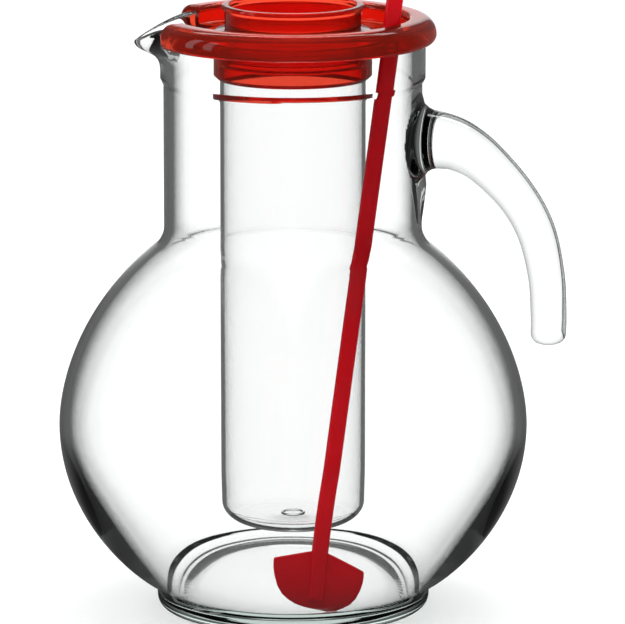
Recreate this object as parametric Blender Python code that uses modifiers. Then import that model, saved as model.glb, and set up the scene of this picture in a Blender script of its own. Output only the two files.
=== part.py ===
"""Glass pitcher with a round belly, a cylindrical neck and a solid hooked handle.

A plastic lid ring sits on the rim and carries a clear chilling tube with its own cap, and a
stirrer that leans through a hole in the lid down to the pitcher's floor.

Units are metres, +Z is up. The origin is the centre of the foot's underside. The handle is on
+X and the spout on -X.
"""

import math

import bmesh
import bpy
from mathutils import Matrix, Vector
from mathutils.geometry import interpolate_bezier

ASSEMBLY = "glass_pitcher"

# Clearances between pieces
SEAT_GAP = 0.0003
SLIDE_GAP = 0.0004
BOOLEAN_OVERRUN = 0.002

# Pitcher: belly, shoulder and neck
JUG_HEIGHT = 0.2253
BODY_RADIUS = 0.0891
BODY_EQUATOR_Z = 0.0711
BODY_UPPER_HANDLE = 0.0153
BODY_LOWER_HANDLE = 0.036
SHOULDER_RUN_HANDLE = 0.038
SHOULDER_SLOPE = math.radians(39.0)
NECK_RADIUS = 0.0489
NECK_LENGTH = 0.0825
NECK_FILLET_LEG = 0.0041
GLASS_WALL = 0.0035

# Pitcher: finish bead under the lid and the rounded rim
FINISH_PROUD = 0.0012
FINISH_HEIGHT = 0.0207
FINISH_STEP = 0.0028
RIM_ROUND = 0.0018

# Pitcher: foot and floor
BASE_RADIUS = 0.0456
FOOT_RADIUS = 0.052
FOOT_HEIGHT = 0.0068
WAIST_RADIUS = 0.0505
WAIST_Z = 0.0085
WAIST_SLOPE = math.radians(15.0)
WAIST_HANDLE = 0.010
FLOOR_RADIUS = 0.0455
FLOOR_THICKNESS = 0.010
FLOOR_SLOPE = math.radians(18.0)
FLOOR_HANDLE = 0.012
INNER_LOWER_HANDLE = 0.028

# Spout: the rim drawn out into a drooping beak
SPOUT_REACH = 0.0105
SPOUT_DROOP = 0.0075
SPOUT_ROOT_DROP = 0.0173
SPOUT_HALF_ANGLE = math.radians(31.0)
SPOUT_NOSE_SHARE = 0.12
SPOUT_THINNING_SHARE = 0.15

# Handle: a solid hook of glass, open at its lower end
HANDLE_ROOT_DROP = 0.0438
HANDLE_REACH = 0.0488
HANDLE_DROP = 0.0771
HANDLE_THICKNESS = 0.0144
HANDLE_WIDTH_SHARE = 1.15
HANDLE_BURY = 0.0027
# Each row: share of the reach, share of the drop, share of the thickness
HANDLE_PATH_SHARES = (
    (0.02, 0.0, 2.20),
    (0.09, 0.0, 1.70),
    (0.18, 0.006, 1.48),
    (0.31, 0.032, 1.37),
    (0.49, 0.106, 1.18),
    (0.733, 0.268, 1.06),
    (0.89, 0.443, 1.02),
    (0.972, 0.66, 0.97),
    (0.992, 0.85, 0.95),
    (0.992, 0.955, 0.93),
    (0.992, 0.987, 0.78),
    (0.992, 1.0, 0.45),
)
PAD_THICKNESS = 0.0046
PAD_WIDTH = 0.022
PAD_HEIGHT = 0.042
PAD_DROP = 0.0115

# Lid: ring over the rim, tray inside it, collar for the tube
LID_WALL = 0.0018
RING_BULGE = 0.0037
RING_SKIRT_DROP = 0.00745
RING_CROWN = 0.0020
RING_CORNER_WIDTH = 0.0057
RING_CORNER_HEIGHT = 0.0065
RING_LOW_WIDTH = 0.0007
RING_END_ROUND = 0.0050
SKIRT_THICKNESS = 0.0016
SKIRT_DEPTH = 0.0079
TRAY_DEPTH = 0.0046
TRAY_FILLET = 0.0012
COLLAR_WALL = 0.0020
COLLAR_DROP = 0.0163
COLLAR_CHAMFER = 0.0015
POUR_HALF_ANGLE = math.radians(27.0)
POUR_LEDGE = 0.0060

# Chilling tube: a clear closed tube hung in the collar by its flange
TUBE_NECK_ROOM = 0.0214
TUBE_WALL = 0.0015
TUBE_MOUTH_WALL = 0.0020
TUBE_MOUTH_STEP = 0.0010
TUBE_FLOOR_GAP = 0.0201
TUBE_CORNER = 0.0070
FLANGE_PROUD = 0.0022
FLANGE_THICKNESS = 0.0016
GATE_RING_RADIUS = 0.0045
GATE_RING_WIDTH = 0.0009
GATE_RING_HEIGHT = 0.0007

# Cap of the tube: a shallow cup on a plug
CAP_INSET = 0.00175
CAP_HEIGHT = 0.0094
CAP_WALL = 0.0019
CAP_LIP_PROUD = 0.00105
CAP_LIP_HEIGHT = 0.0016
CAP_RECESS_DEPTH = 0.0084
PLUG_LENGTH = 0.0108
PLUG_WALL = 0.0020

# Stirrer: flat bar with a paddle at its lower end
ROD_WIDTH = 0.0062
ROD_THICKNESS = 0.0046
ROD_TOP_ABOVE_LID = 0.040
ROD_TIP_LENGTH = 0.0030
# Each row of the rounded tip: share of its length below the top, share of the bar's width
ROD_TIP_SHARES = ((1.0, 1.0), (0.4, 0.86), (0.0, 0.45))
STIRRER_TUBE_GAP = 0.0027
STIRRER_AZIMUTH = math.radians(-12.0)
STIRRER_HOLE_RADIUS = 0.0044
STIRRER_HOLE_EDGE = 0.0007
PADDLE_FACING = math.radians(12.0)
PADDLE_FLOOR_GAP = 0.0004
PADDLE_HALF_WIDTH = 0.0170
PADDLE_THICKNESS = 0.0018
PADDLE_TOP_RISE = 0.0036
PADDLE_DEPTH = 0.0130
# Right half of the paddle's lower edge: share of the half width, share of the depth
PADDLE_EDGE_SHARES = ((1.0, 0.0), (0.985, 0.25), (0.86, 0.62), (0.60, 0.88), (0.28, 0.985))
PADDLE_TOP_SHARE = 0.20
# Place along the half width where the leaning paddle's rounded edge is lowest, whichever way it is turned
PADDLE_LOW_SHARE = 0.25

# Smoothness of the facets
JUG_STEPS = 56
LID_STEPS = 56
TUBE_STEPS = 40
CURVE_POINTS = 9
CORNER_POINTS = 4
RING_CURVE_POINTS = 7
WALL_POINTS = 6
HANDLE_CURVE_STEPS = 3
BEVEL_STEPS = 4
PAD_SEGMENTS = 20
PAD_RINGS = 14
BORE_SIDES = 20
SMALL_ARC_POINTS = 3
RING_END_LEVELS = 7
RING_END_POINTS = 4
# Length of a Bezier handle, as a share of the side, that makes a quarter of an ellipse
QUARTER_SHARE = 0.5523
SMOOTH_ANGLE = math.radians(35.0)
MERGE_DISTANCE = 0.00001

# Heights and radii that follow from the sizes above
NECK_FOOT_Z = JUG_HEIGHT - NECK_LENGTH
FINISH_RADIUS = NECK_RADIUS + FINISH_PROUD
NECK_INNER_RADIUS = NECK_RADIUS - GLASS_WALL
SKIRT_RADIUS = NECK_INNER_RADIUS - SLIDE_GAP
SKIRT_INNER_RADIUS = SKIRT_RADIUS - SKIRT_THICKNESS
RING_INNER_RADIUS = FINISH_RADIUS + SLIDE_GAP
RING_RADIUS = RING_INNER_RADIUS + RING_BULGE
RING_UNDERSIDE_Z = JUG_HEIGHT + SEAT_GAP
RING_TOP_Z = RING_UNDERSIDE_Z + RING_CROWN
RING_LOW_Z = JUG_HEIGHT - RING_SKIRT_DROP
SKIRT_LOW_Z = JUG_HEIGHT - SKIRT_DEPTH
TRAY_Z = JUG_HEIGHT - TRAY_DEPTH
TUBE_RADIUS = NECK_RADIUS - TUBE_NECK_ROOM
CAP_RADIUS = TUBE_RADIUS - CAP_INSET
COLLAR_INNER_RADIUS = TUBE_RADIUS + SLIDE_GAP
COLLAR_RADIUS = COLLAR_INNER_RADIUS + COLLAR_WALL
COLLAR_LOW_Z = TRAY_Z - COLLAR_DROP
POUR_INNER_RADIUS = COLLAR_RADIUS + POUR_LEDGE
FLANGE_Z = TRAY_Z + SEAT_GAP
TUBE_TOP_Z = FLANGE_Z + FLANGE_THICKNESS
TUBE_LOW_Z = FLOOR_THICKNESS + TUBE_FLOOR_GAP
TUBE_INNER_RADIUS = TUBE_RADIUS - TUBE_WALL
TUBE_MOUTH_RADIUS = TUBE_RADIUS - TUBE_MOUTH_WALL
CAP_LOW_Z = TUBE_TOP_Z + SEAT_GAP
CAP_TOP_Z = CAP_LOW_Z + CAP_HEIGHT
TUBE_MOUTH_LOW_Z = CAP_LOW_Z - PLUG_LENGTH - TUBE_MOUTH_STEP
PLUG_RADIUS = TUBE_MOUTH_RADIUS - SEAT_GAP
STIRRER_RING_RADIUS = SKIRT_INNER_RADIUS - STIRRER_HOLE_EDGE - STIRRER_HOLE_RADIUS
HALF = 0.5

# Colours as (red, green, blue, alpha)
GLASS_COLOUR = (0.93, 0.97, 0.95, 0.35)
CLEAR_PLASTIC_COLOUR = (0.96, 0.97, 0.96, 0.35)
LID_RED = (0.62, 0.01, 0.015, 1.0)
STIRRER_RED = (0.55, 0.006, 0.012, 1.0)

# Surface of each material: (roughness, transmission)
GLASS_SURFACE = (0.02, 1.0)
CLEAR_PLASTIC_SURFACE = (0.05, 1.0)
LID_SURFACE = (0.2, 0.0)
STIRRER_SURFACE = (0.25, 0.0)


def clear_scene():
    """Removes every object, so the part starts from nothing."""
    for obj in list(bpy.data.objects):
        bpy.data.objects.remove(obj)


def new_collection(name):
    """A new collection linked to the scene."""
    collection = bpy.data.collections.new(name)
    bpy.context.scene.collection.children.link(collection)
    return collection


def material(name, colour, surface):
    """A Principled material with the piece's colour, roughness and transmission."""
    roughness, transmission = surface
    made = bpy.data.materials.new(name)
    made.use_nodes = True
    shader = made.node_tree.nodes["Principled BSDF"]
    shader.inputs["Base Color"].default_value = colour
    shader.inputs["Roughness"].default_value = roughness
    shader.inputs["Metallic"].default_value = 0.0
    shader.inputs["Transmission Weight"].default_value = transmission
    made.diffuse_color = colour
    return made


def curve_run(start, start_handle, end_handle, end, count=CURVE_POINTS):
    """Points along one Bezier segment in the (radius, height) plane."""
    return [tuple(p) for p in interpolate_bezier(start, start_handle, end_handle, end, count)]


def arc_run(centre, radius, start_deg, end_deg, count=CORNER_POINTS):
    """Points along an arc, both ends included."""
    points = []
    for i in range(count):
        angle = math.radians(start_deg + (end_deg - start_deg) * i / (count - 1))
        points.append((centre[0] + radius * math.cos(angle), centre[1] + radius * math.sin(angle)))
    return points


def quarter_run(level, upright, count):
    """Points along a quarter of an ellipse, from its level end to its upright end."""
    across = Vector((upright[0] - level[0], 0.0)) * QUARTER_SHARE
    down = Vector((0.0, upright[1] - level[1])) * QUARTER_SHARE
    return curve_run(level, Vector(level) + across, Vector(upright) - down, upright, count)


def line_run(start, end, count):
    """Points along a straight line, without its end."""
    return [
        (start[0] + (end[0] - start[0]) * i / count, start[1] + (end[1] - start[1]) * i / count)
        for i in range(count)
    ]


def inset_run(points, distance):
    """An outline that runs down the outer side, moved inwards by a distance square to itself."""
    moved = []
    for i, point in enumerate(points):
        ahead = Vector(points[min(i + 1, len(points) - 1)])
        behind = Vector(points[max(i - 1, 0)])
        along = (ahead - behind).normalized()
        moved.append((point[0] + along.y * distance, point[1] - along.x * distance))
    return moved


def turned(name, profile, steps, closed=False):
    """A solid of revolution: the profile runs down its outer side, and Screw turns it about Z."""
    mesh = bpy.data.meshes.new(name)
    shape = bmesh.new()
    verts = [shape.verts.new((radius, 0.0, height)) for radius, height in profile]
    pairs = list(zip(verts, verts[1:]))
    if closed:
        pairs.append((verts[-1], verts[0]))
    for a, b in pairs:
        shape.edges.new((a, b))
    shape.to_mesh(mesh)
    shape.free()
    obj = bpy.data.objects.new(name, mesh)
    PARTS.objects.link(obj)
    screw = obj.modifiers.new("turn", "SCREW")
    screw.steps = steps
    screw.render_steps = steps
    screw.use_merge_vertices = True
    screw.merge_threshold = MERGE_DISTANCE
    return obj


def made_mesh(obj):
    """Replaces a curve or a modified object by its evaluated mesh, welded, in world space."""
    bpy.context.view_layer.update()
    evaluated = obj.evaluated_get(bpy.context.evaluated_depsgraph_get())
    mesh = bpy.data.meshes.new_from_object(evaluated)
    mesh.transform(obj.matrix_world)
    shape = bmesh.new()
    shape.from_mesh(mesh)
    bmesh.ops.remove_doubles(shape, verts=shape.verts, dist=MERGE_DISTANCE)
    bmesh.ops.recalc_face_normals(shape, faces=shape.faces)
    shape.to_mesh(mesh)
    shape.free()
    name = obj.name
    for collection in list(obj.users_collection):
        collection.objects.unlink(obj)
    bpy.data.objects.remove(obj)
    result = bpy.data.objects.new(name, mesh)
    PARTS.objects.link(result)
    return result


def as_helper(obj):
    """Moves an object among the cutters, out of the finished part."""
    PARTS.objects.unlink(obj)
    CUTTERS.objects.link(obj)
    obj.hide_render = True
    obj.display_type = "WIRE"
    return obj


def combine(obj, helper, operation):
    """Adds a Boolean of the helper to the object."""
    boolean = obj.modifiers.new(f"{operation.lower()}_{helper.name}", "BOOLEAN")
    boolean.operation = operation
    boolean.solver = "EXACT"
    boolean.object = as_helper(helper)


def prism(name, outline, low_z, high_z):
    """A flat outline in the XY plane, extruded from one height to the other."""
    curve = bpy.data.curves.new(name, "CURVE")
    curve.dimensions = "2D"
    curve.fill_mode = "BOTH"
    curve.extrude = (high_z - low_z) / 2
    spline = curve.splines.new("POLY")
    spline.points.add(len(outline) - 1)
    for point, (x, y) in zip(spline.points, outline):
        point.co = (x, y, 0.0, 1.0)
    spline.use_cyclic_u = True
    obj = bpy.data.objects.new(name, curve)
    PARTS.objects.link(obj)
    obj.location.z = (low_z + high_z) / 2
    return made_mesh(obj)


def finish(obj, made):
    """Gives a piece its material and smooth shading."""
    obj.data.materials.clear()
    obj.data.materials.append(made)
    obj.data.shade_smooth()
    obj.data.set_sharp_from_angle(angle=SMOOTH_ANGLE)


def shoulder_outline():
    """Outer outline of neck fillet and upper belly, from the neck down to the equator."""
    inward = Vector((-math.cos(SHOULDER_SLOPE), math.sin(SHOULDER_SLOPE)))
    corner = Vector((NECK_RADIUS, NECK_FOOT_Z))
    fillet_top = corner + Vector((0.0, NECK_FILLET_LEG))
    fillet_low = corner - inward * NECK_FILLET_LEG
    equator = Vector((BODY_RADIUS, BODY_EQUATOR_Z))
    fillet = curve_run(fillet_top, (fillet_top + corner) / 2, (fillet_low + corner) / 2, fillet_low,
                       CORNER_POINTS)
    belly = curve_run(fillet_low, fillet_low - inward * SHOULDER_RUN_HANDLE,
                      equator + Vector((0.0, BODY_UPPER_HANDLE)), equator)
    return fillet + belly[1:]


def jug_profile():
    """Whole section of the pitcher: up the inside from the floor's centre, down the outside."""
    equator = Vector((BODY_RADIUS, BODY_EQUATOR_Z))
    inner_equator = equator - Vector((GLASS_WALL, 0.0))
    floor_edge = Vector((FLOOR_RADIUS, FLOOR_THICKNESS))
    floor_out = Vector((math.cos(FLOOR_SLOPE), math.sin(FLOOR_SLOPE))) * FLOOR_HANDLE
    waist = Vector((WAIST_RADIUS, WAIST_Z))
    waist_out = Vector((math.cos(WAIST_SLOPE), math.sin(WAIST_SLOPE))) * WAIST_HANDLE
    shoulder = shoulder_outline()
    inner_shoulder = inset_run(shoulder, GLASS_WALL)[::-1]
    finish_low_z = JUG_HEIGHT - FINISH_HEIGHT

    profile = [(0.0, FLOOR_THICKNESS)]
    profile += curve_run(floor_edge, floor_edge + floor_out,
                         inner_equator - Vector((0.0, INNER_LOWER_HANDLE)), inner_equator)
    profile += inner_shoulder[1:]
    profile += line_run((NECK_INNER_RADIUS, finish_low_z), (NECK_INNER_RADIUS, JUG_HEIGHT - RIM_ROUND),
                        WALL_POINTS)
    profile += arc_run((NECK_INNER_RADIUS + RIM_ROUND, JUG_HEIGHT - RIM_ROUND), RIM_ROUND, 180, 90)
    profile += arc_run((FINISH_RADIUS - RIM_ROUND, JUG_HEIGHT - RIM_ROUND), RIM_ROUND, 90, 0)
    profile += line_run((FINISH_RADIUS, JUG_HEIGHT - RIM_ROUND), (FINISH_RADIUS, finish_low_z),
                        WALL_POINTS)[1:]
    profile += [(FINISH_RADIUS, finish_low_z), (NECK_RADIUS, finish_low_z - FINISH_STEP)]
    profile += shoulder
    profile += curve_run(equator, equator - Vector((0.0, BODY_LOWER_HANDLE)), waist + waist_out, waist)[1:]
    foot_corner = Vector((FOOT_RADIUS, 0.0))
    profile += curve_run((FOOT_RADIUS, FOOT_HEIGHT), foot_corner + Vector((0.0, FOOT_HEIGHT / 2)),
                         foot_corner, (BASE_RADIUS, 0.0), CORNER_POINTS + 1)
    profile.append((0.0, 0.0))
    return profile


def draw_out_spout(mesh):
    """Draws the rim out into the spout: a beak that reaches out towards -X and droops."""
    root_z = JUG_HEIGHT - SPOUT_ROOT_DROP
    rim_width = FINISH_RADIUS - NECK_INNER_RADIUS
    nose = (1.0 - SPOUT_NOSE_SHARE) ** 2
    for vertex in mesh.vertices:
        x, y, z = vertex.co
        if z <= root_z:
            continue
        angle = abs(math.atan2(y, -x))
        turn = math.hypot(angle / SPOUT_HALF_ANGLE, SPOUT_NOSE_SHARE)
        if turn >= 1.0:
            continue
        rise = (z - root_z) / SPOUT_ROOT_DROP
        drawn = (1.0 - turn) ** 2 / nose * rise * rise * (3.0 - 2.0 * rise)
        radius = math.hypot(x, y)
        inwards = min((FINISH_RADIUS - radius) / rim_width, 1.0)
        reach = SPOUT_REACH * drawn * (1.0 + SPOUT_THINNING_SHARE * inwards)
        scale = (radius + reach) / radius
        vertex.co = (x * scale, y * scale, z - SPOUT_DROOP * drawn)


def handle_solid():
    """The hooked handle as a thick curve in the XZ plane, widened across."""
    root_z = JUG_HEIGHT - HANDLE_ROOT_DROP
    curve = bpy.data.curves.new("handle_hook", "CURVE")
    curve.dimensions = "3D"
    curve.resolution_u = HANDLE_CURVE_STEPS
    curve.bevel_depth = HANDLE_THICKNESS / 2
    curve.bevel_resolution = BEVEL_STEPS
    curve.use_fill_caps = True
    spline = curve.splines.new("BEZIER")
    spline.radius_interpolation = "CARDINAL"
    spline.bezier_points.add(len(HANDLE_PATH_SHARES))
    rows = [(-HANDLE_BURY / HANDLE_REACH, 0.0, HANDLE_PATH_SHARES[0][2]), *HANDLE_PATH_SHARES]
    for point, (reach, drop, thick) in zip(spline.bezier_points, rows):
        point.co = (NECK_RADIUS + reach * HANDLE_REACH, 0.0, root_z - drop * HANDLE_DROP)
        point.radius = thick
        point.handle_left_type = "AUTO"
        point.handle_right_type = "AUTO"
    obj = bpy.data.objects.new("handle_hook", curve)
    PARTS.objects.link(obj)
    solid = made_mesh(obj)
    solid.data.transform(Matrix.Diagonal((1.0, HANDLE_WIDTH_SHARE, 1.0, 1.0)))
    return solid


def pad_solid():
    """The drop of glass that runs down the neck below the handle."""
    mesh = bpy.data.meshes.new("glass_handle")
    shape = bmesh.new()
    bmesh.ops.create_uvsphere(shape, u_segments=PAD_SEGMENTS, v_segments=PAD_RINGS, radius=HALF)
    bmesh.ops.scale(shape, vec=(PAD_THICKNESS, PAD_WIDTH, PAD_HEIGHT), verts=shape.verts)
    middle = Vector((NECK_RADIUS, 0.0, JUG_HEIGHT - HANDLE_ROOT_DROP - PAD_DROP))
    bmesh.ops.translate(shape, vec=middle, verts=shape.verts)
    shape.to_mesh(mesh)
    shape.free()
    obj = bpy.data.objects.new("glass_handle", mesh)
    PARTS.objects.link(obj)
    return obj


def make_jug():
    """Pitcher of glass: belly, neck and spout in one piece."""
    body = made_mesh(turned("glass_jug", jug_profile(), JUG_STEPS))
    draw_out_spout(body.data)
    finish(body, material("clear_glass", GLASS_COLOUR, GLASS_SURFACE))
    return body


def make_handle():
    """Handle with its pad, hollowed at the root to lie on the neck it is melted onto."""
    handle = pad_solid()
    combine(handle, handle_solid(), "UNION")
    radius = NECK_RADIUS + SEAT_GAP
    neck = turned("neck_cutter", [(0.0, JUG_HEIGHT), (radius, JUG_HEIGHT), (radius, 0.0), (0.0, 0.0)], JUG_STEPS)
    combine(handle, made_mesh(neck), "DIFFERENCE")
    finish(handle, material("clear_handle_glass", GLASS_COLOUR, GLASS_SURFACE))
    return handle


def lid_profile():
    """Section of the lid: over the ring, under it round the rim, tray, collar and back."""
    crown = Vector((RING_RADIUS - RING_CORNER_WIDTH, RING_TOP_Z))
    widest = Vector((RING_RADIUS, RING_TOP_Z - RING_CORNER_HEIGHT))
    low_outer = Vector((RING_INNER_RADIUS + RING_LOW_WIDTH, RING_LOW_Z))
    profile = quarter_run(crown, widest, RING_CURVE_POINTS)
    profile += quarter_run(low_outer, widest, CORNER_POINTS)[-2::-1]
    profile += [
        (RING_INNER_RADIUS, RING_LOW_Z),
        (RING_INNER_RADIUS, RING_UNDERSIDE_Z),
        (SKIRT_RADIUS, RING_UNDERSIDE_Z),
        (SKIRT_RADIUS, SKIRT_LOW_Z),
        (SKIRT_INNER_RADIUS, SKIRT_LOW_Z),
        (SKIRT_INNER_RADIUS, TRAY_Z - LID_WALL),
        (COLLAR_RADIUS, TRAY_Z - LID_WALL),
        (COLLAR_RADIUS, COLLAR_LOW_Z + COLLAR_CHAMFER),
        (COLLAR_RADIUS - COLLAR_CHAMFER, COLLAR_LOW_Z),
        (COLLAR_INNER_RADIUS, COLLAR_LOW_Z),
        (COLLAR_INNER_RADIUS, TRAY_Z),
    ]
    profile += arc_run((SKIRT_INNER_RADIUS - TRAY_FILLET, TRAY_Z + TRAY_FILLET), TRAY_FILLET, -90, 0,
                       SMALL_ARC_POINTS)
    profile += arc_run((SKIRT_INNER_RADIUS + RING_CROWN, RING_TOP_Z - RING_CROWN), RING_CROWN, 180, 90)
    return profile


def pour_outline(rise):
    """Outline of the cut over the spout, on one level, from its inner arc out along both sides.

    rise is the level, from -1 just below the ring to 1 just above it. Towards either, and towards
    the outside, the cut widens, so that it leaves the ring with rounded ends.
    """
    places = [(POUR_INNER_RADIUS, 0.0)]
    for i in range(RING_END_POINTS + 1):
        outwards = i / RING_END_POINTS
        places.append((RING_RADIUS - RING_CORNER_WIDTH * (1.0 - outwards), outwards))
    side = []
    for radius, outwards in places:
        rounded = 1.0 - math.sqrt(max(0.0, 1.0 - outwards ** 2 - rise ** 2))
        side.append((radius, POUR_HALF_ANGLE + RING_END_ROUND / RING_RADIUS * rounded))
    widest = side[-1][1]
    side.append(((RING_RADIUS + BOOLEAN_OVERRUN) / math.cos(widest), widest))
    inner_half_angle = side[0][1]
    inner = [(POUR_INNER_RADIUS, inner_half_angle * t) for t in (HALF, 0.0, -HALF)]
    polar = side[::-1] + inner + [(radius, -angle) for radius, angle in side]
    return [(-radius * math.cos(angle), radius * math.sin(angle)) for radius, angle in polar]


def pour_solid():
    """The block that opens the lid over the spout: its outlines on several levels, bridged."""
    low_z = min(RING_LOW_Z, SKIRT_LOW_Z) - SEAT_GAP
    high_z = RING_TOP_Z + SEAT_GAP
    shape = bmesh.new()
    loops = []
    for i in range(RING_END_LEVELS + 1):
        rise = -math.cos(math.pi * i / RING_END_LEVELS)
        z = (low_z + high_z) / 2 + rise * (high_z - low_z) / 2
        loops.append([shape.verts.new((x, y, z)) for x, y in pour_outline(rise)])
    for below, above in zip(loops, loops[1:]):
        for i in range(len(below)):
            shape.faces.new((below[i - 1], below[i], above[i], above[i - 1]))
    shape.faces.new(loops[0])
    shape.faces.new(loops[-1])
    bmesh.ops.recalc_face_normals(shape, faces=shape.faces)
    mesh = bpy.data.meshes.new("pour_cutter")
    shape.to_mesh(mesh)
    shape.free()
    cutter = bpy.data.objects.new("pour_cutter", mesh)
    PARTS.objects.link(cutter)
    return cutter


def rod_line():
    """Foot and top of the stirrer's axis: it passes the tube by its gap and ends above the lid."""
    passing = TUBE_RADIUS + ROD_WIDTH / 2 + STIRRER_TUBE_GAP
    swing = 2 * math.acos(passing / STIRRER_RING_RADIUS)
    foot_azimuth = STIRRER_AZIMUTH - swing
    hole = Vector((
        STIRRER_RING_RADIUS * math.cos(STIRRER_AZIMUTH),
        STIRRER_RING_RADIUS * math.sin(STIRRER_AZIMUTH),
        TRAY_Z,
    ))
    foot = Vector((
        STIRRER_RING_RADIUS * math.cos(foot_azimuth),
        STIRRER_RING_RADIUS * math.sin(foot_azimuth),
        FLOOR_THICKNESS,
    ))
    return foot, hole


def make_lid():
    """Lid: ring, tray and collar in one moulding, cut open over the spout and bored for the rod."""
    body = made_mesh(turned("lid", lid_profile(), LID_STEPS, closed=True))
    combine(body, pour_solid(), "DIFFERENCE")
    hole = rod_line()[1]
    bore = []
    for i in range(BORE_SIDES):
        angle = 2 * math.pi * i / BORE_SIDES
        bore.append((hole.x + STIRRER_HOLE_RADIUS * math.cos(angle),
                     hole.y + STIRRER_HOLE_RADIUS * math.sin(angle)))
    bore_solid = prism("stirrer_bore", bore, TRAY_Z - LID_WALL - BOOLEAN_OVERRUN, TRAY_Z + BOOLEAN_OVERRUN)
    combine(body, bore_solid, "DIFFERENCE")
    finish(body, material("red_lid_plastic", LID_RED, LID_SURFACE))
    return body


def make_tube():
    """Chilling tube: closed below, with a rounded corner, a moulding ring and a flange on top."""
    floor_z = TUBE_LOW_Z + TUBE_WALL
    inner_corner = TUBE_CORNER - TUBE_WALL
    ring_inner = GATE_RING_RADIUS - GATE_RING_WIDTH
    profile = [
        (0.0, floor_z),
        (ring_inner, floor_z),
        (ring_inner, floor_z + GATE_RING_HEIGHT),
        (GATE_RING_RADIUS, floor_z + GATE_RING_HEIGHT),
        (GATE_RING_RADIUS, floor_z),
    ]
    profile += arc_run((TUBE_RADIUS - TUBE_CORNER, TUBE_LOW_Z + TUBE_CORNER), inner_corner, -90, 0)
    profile += [
        (TUBE_INNER_RADIUS, TUBE_MOUTH_LOW_Z - TUBE_MOUTH_STEP),
        (TUBE_MOUTH_RADIUS, TUBE_MOUTH_LOW_Z),
        (TUBE_MOUTH_RADIUS, TUBE_TOP_Z),
        (TUBE_RADIUS + FLANGE_PROUD, TUBE_TOP_Z),
        (TUBE_RADIUS + FLANGE_PROUD, FLANGE_Z),
        (TUBE_RADIUS, FLANGE_Z),
    ]
    profile += arc_run((TUBE_RADIUS - TUBE_CORNER, TUBE_LOW_Z + TUBE_CORNER), TUBE_CORNER, 0, -90)
    profile.append((0.0, TUBE_LOW_Z))
    tube = turned("chiller_tube", profile, TUBE_STEPS)
    finish(tube, material("clear_plastic", CLEAR_PLASTIC_COLOUR, CLEAR_PLASTIC_SURFACE))
    return tube


def make_cap():
    """Cap of the tube: a cup with a lip, standing on a hollow plug."""
    recess_z = CAP_TOP_Z - CAP_RECESS_DEPTH
    lip_radius = CAP_RADIUS + CAP_LIP_PROUD
    inner_radius = CAP_RADIUS - CAP_WALL
    profile = [(0.0, recess_z)]
    profile += arc_run((inner_radius - CAP_WALL, recess_z + CAP_WALL), CAP_WALL, -90, 0)
    profile += arc_run((inner_radius + CAP_LIP_PROUD, CAP_TOP_Z - CAP_LIP_PROUD), CAP_LIP_PROUD, 180, 90,
                       SMALL_ARC_POINTS)
    profile += arc_run((lip_radius - CAP_LIP_PROUD, CAP_TOP_Z - CAP_LIP_PROUD), CAP_LIP_PROUD, 90, 0,
                       SMALL_ARC_POINTS)
    profile += [
        (lip_radius, CAP_TOP_Z - CAP_LIP_HEIGHT),
        (CAP_RADIUS, CAP_TOP_Z - CAP_LIP_HEIGHT - CAP_LIP_PROUD),
        (CAP_RADIUS, CAP_LOW_Z),
        (PLUG_RADIUS, CAP_LOW_Z),
        (PLUG_RADIUS, CAP_LOW_Z - PLUG_LENGTH),
        (PLUG_RADIUS - PLUG_WALL, CAP_LOW_Z - PLUG_LENGTH),
        (PLUG_RADIUS - PLUG_WALL, recess_z - PLUG_WALL),
        (0.0, recess_z - PLUG_WALL),
    ]
    cap = turned("tube_cap", profile, TUBE_STEPS)
    finish(cap, material("red_cap_plastic", LID_RED, LID_SURFACE))
    return cap


def paddle_outline():
    """Paddle seen from the front: roof-shaped top edge, rounded lower edge."""
    right = [(w * PADDLE_HALF_WIDTH, -d * PADDLE_DEPTH) for w, d in PADDLE_EDGE_SHARES]
    left = [(-x, y) for x, y in reversed(right)]
    top = [
        (-PADDLE_TOP_SHARE * PADDLE_HALF_WIDTH, PADDLE_TOP_RISE),
        (PADDLE_TOP_SHARE * PADDLE_HALF_WIDTH, PADDLE_TOP_RISE),
    ]
    return right + [(0.0, -PADDLE_DEPTH)] + left + top


def rod_solid(length):
    """The flat bar with rounded edges, from inside the paddle to its rounded tip."""
    curve = bpy.data.curves.new("rod", "CURVE")
    curve.dimensions = "3D"
    curve.bevel_depth = ROD_WIDTH / 2
    curve.bevel_resolution = BEVEL_STEPS
    curve.use_fill_caps = True
    spline = curve.splines.new("POLY")
    stations = [(0.0, 1.0)]
    stations += [(length - below * ROD_TIP_LENGTH, share) for below, share in ROD_TIP_SHARES]
    spline.points.add(len(stations) - 1)
    for point, (height, share) in zip(spline.points, stations):
        point.co = (0.0, 0.0, height, 1.0)
        point.radius = share
    obj = bpy.data.objects.new("rod", curve)
    PARTS.objects.link(obj)
    solid = made_mesh(obj)
    solid.data.transform(Matrix.Diagonal((1.0, ROD_THICKNESS / ROD_WIDTH, 1.0, 1.0)))
    return solid


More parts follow.
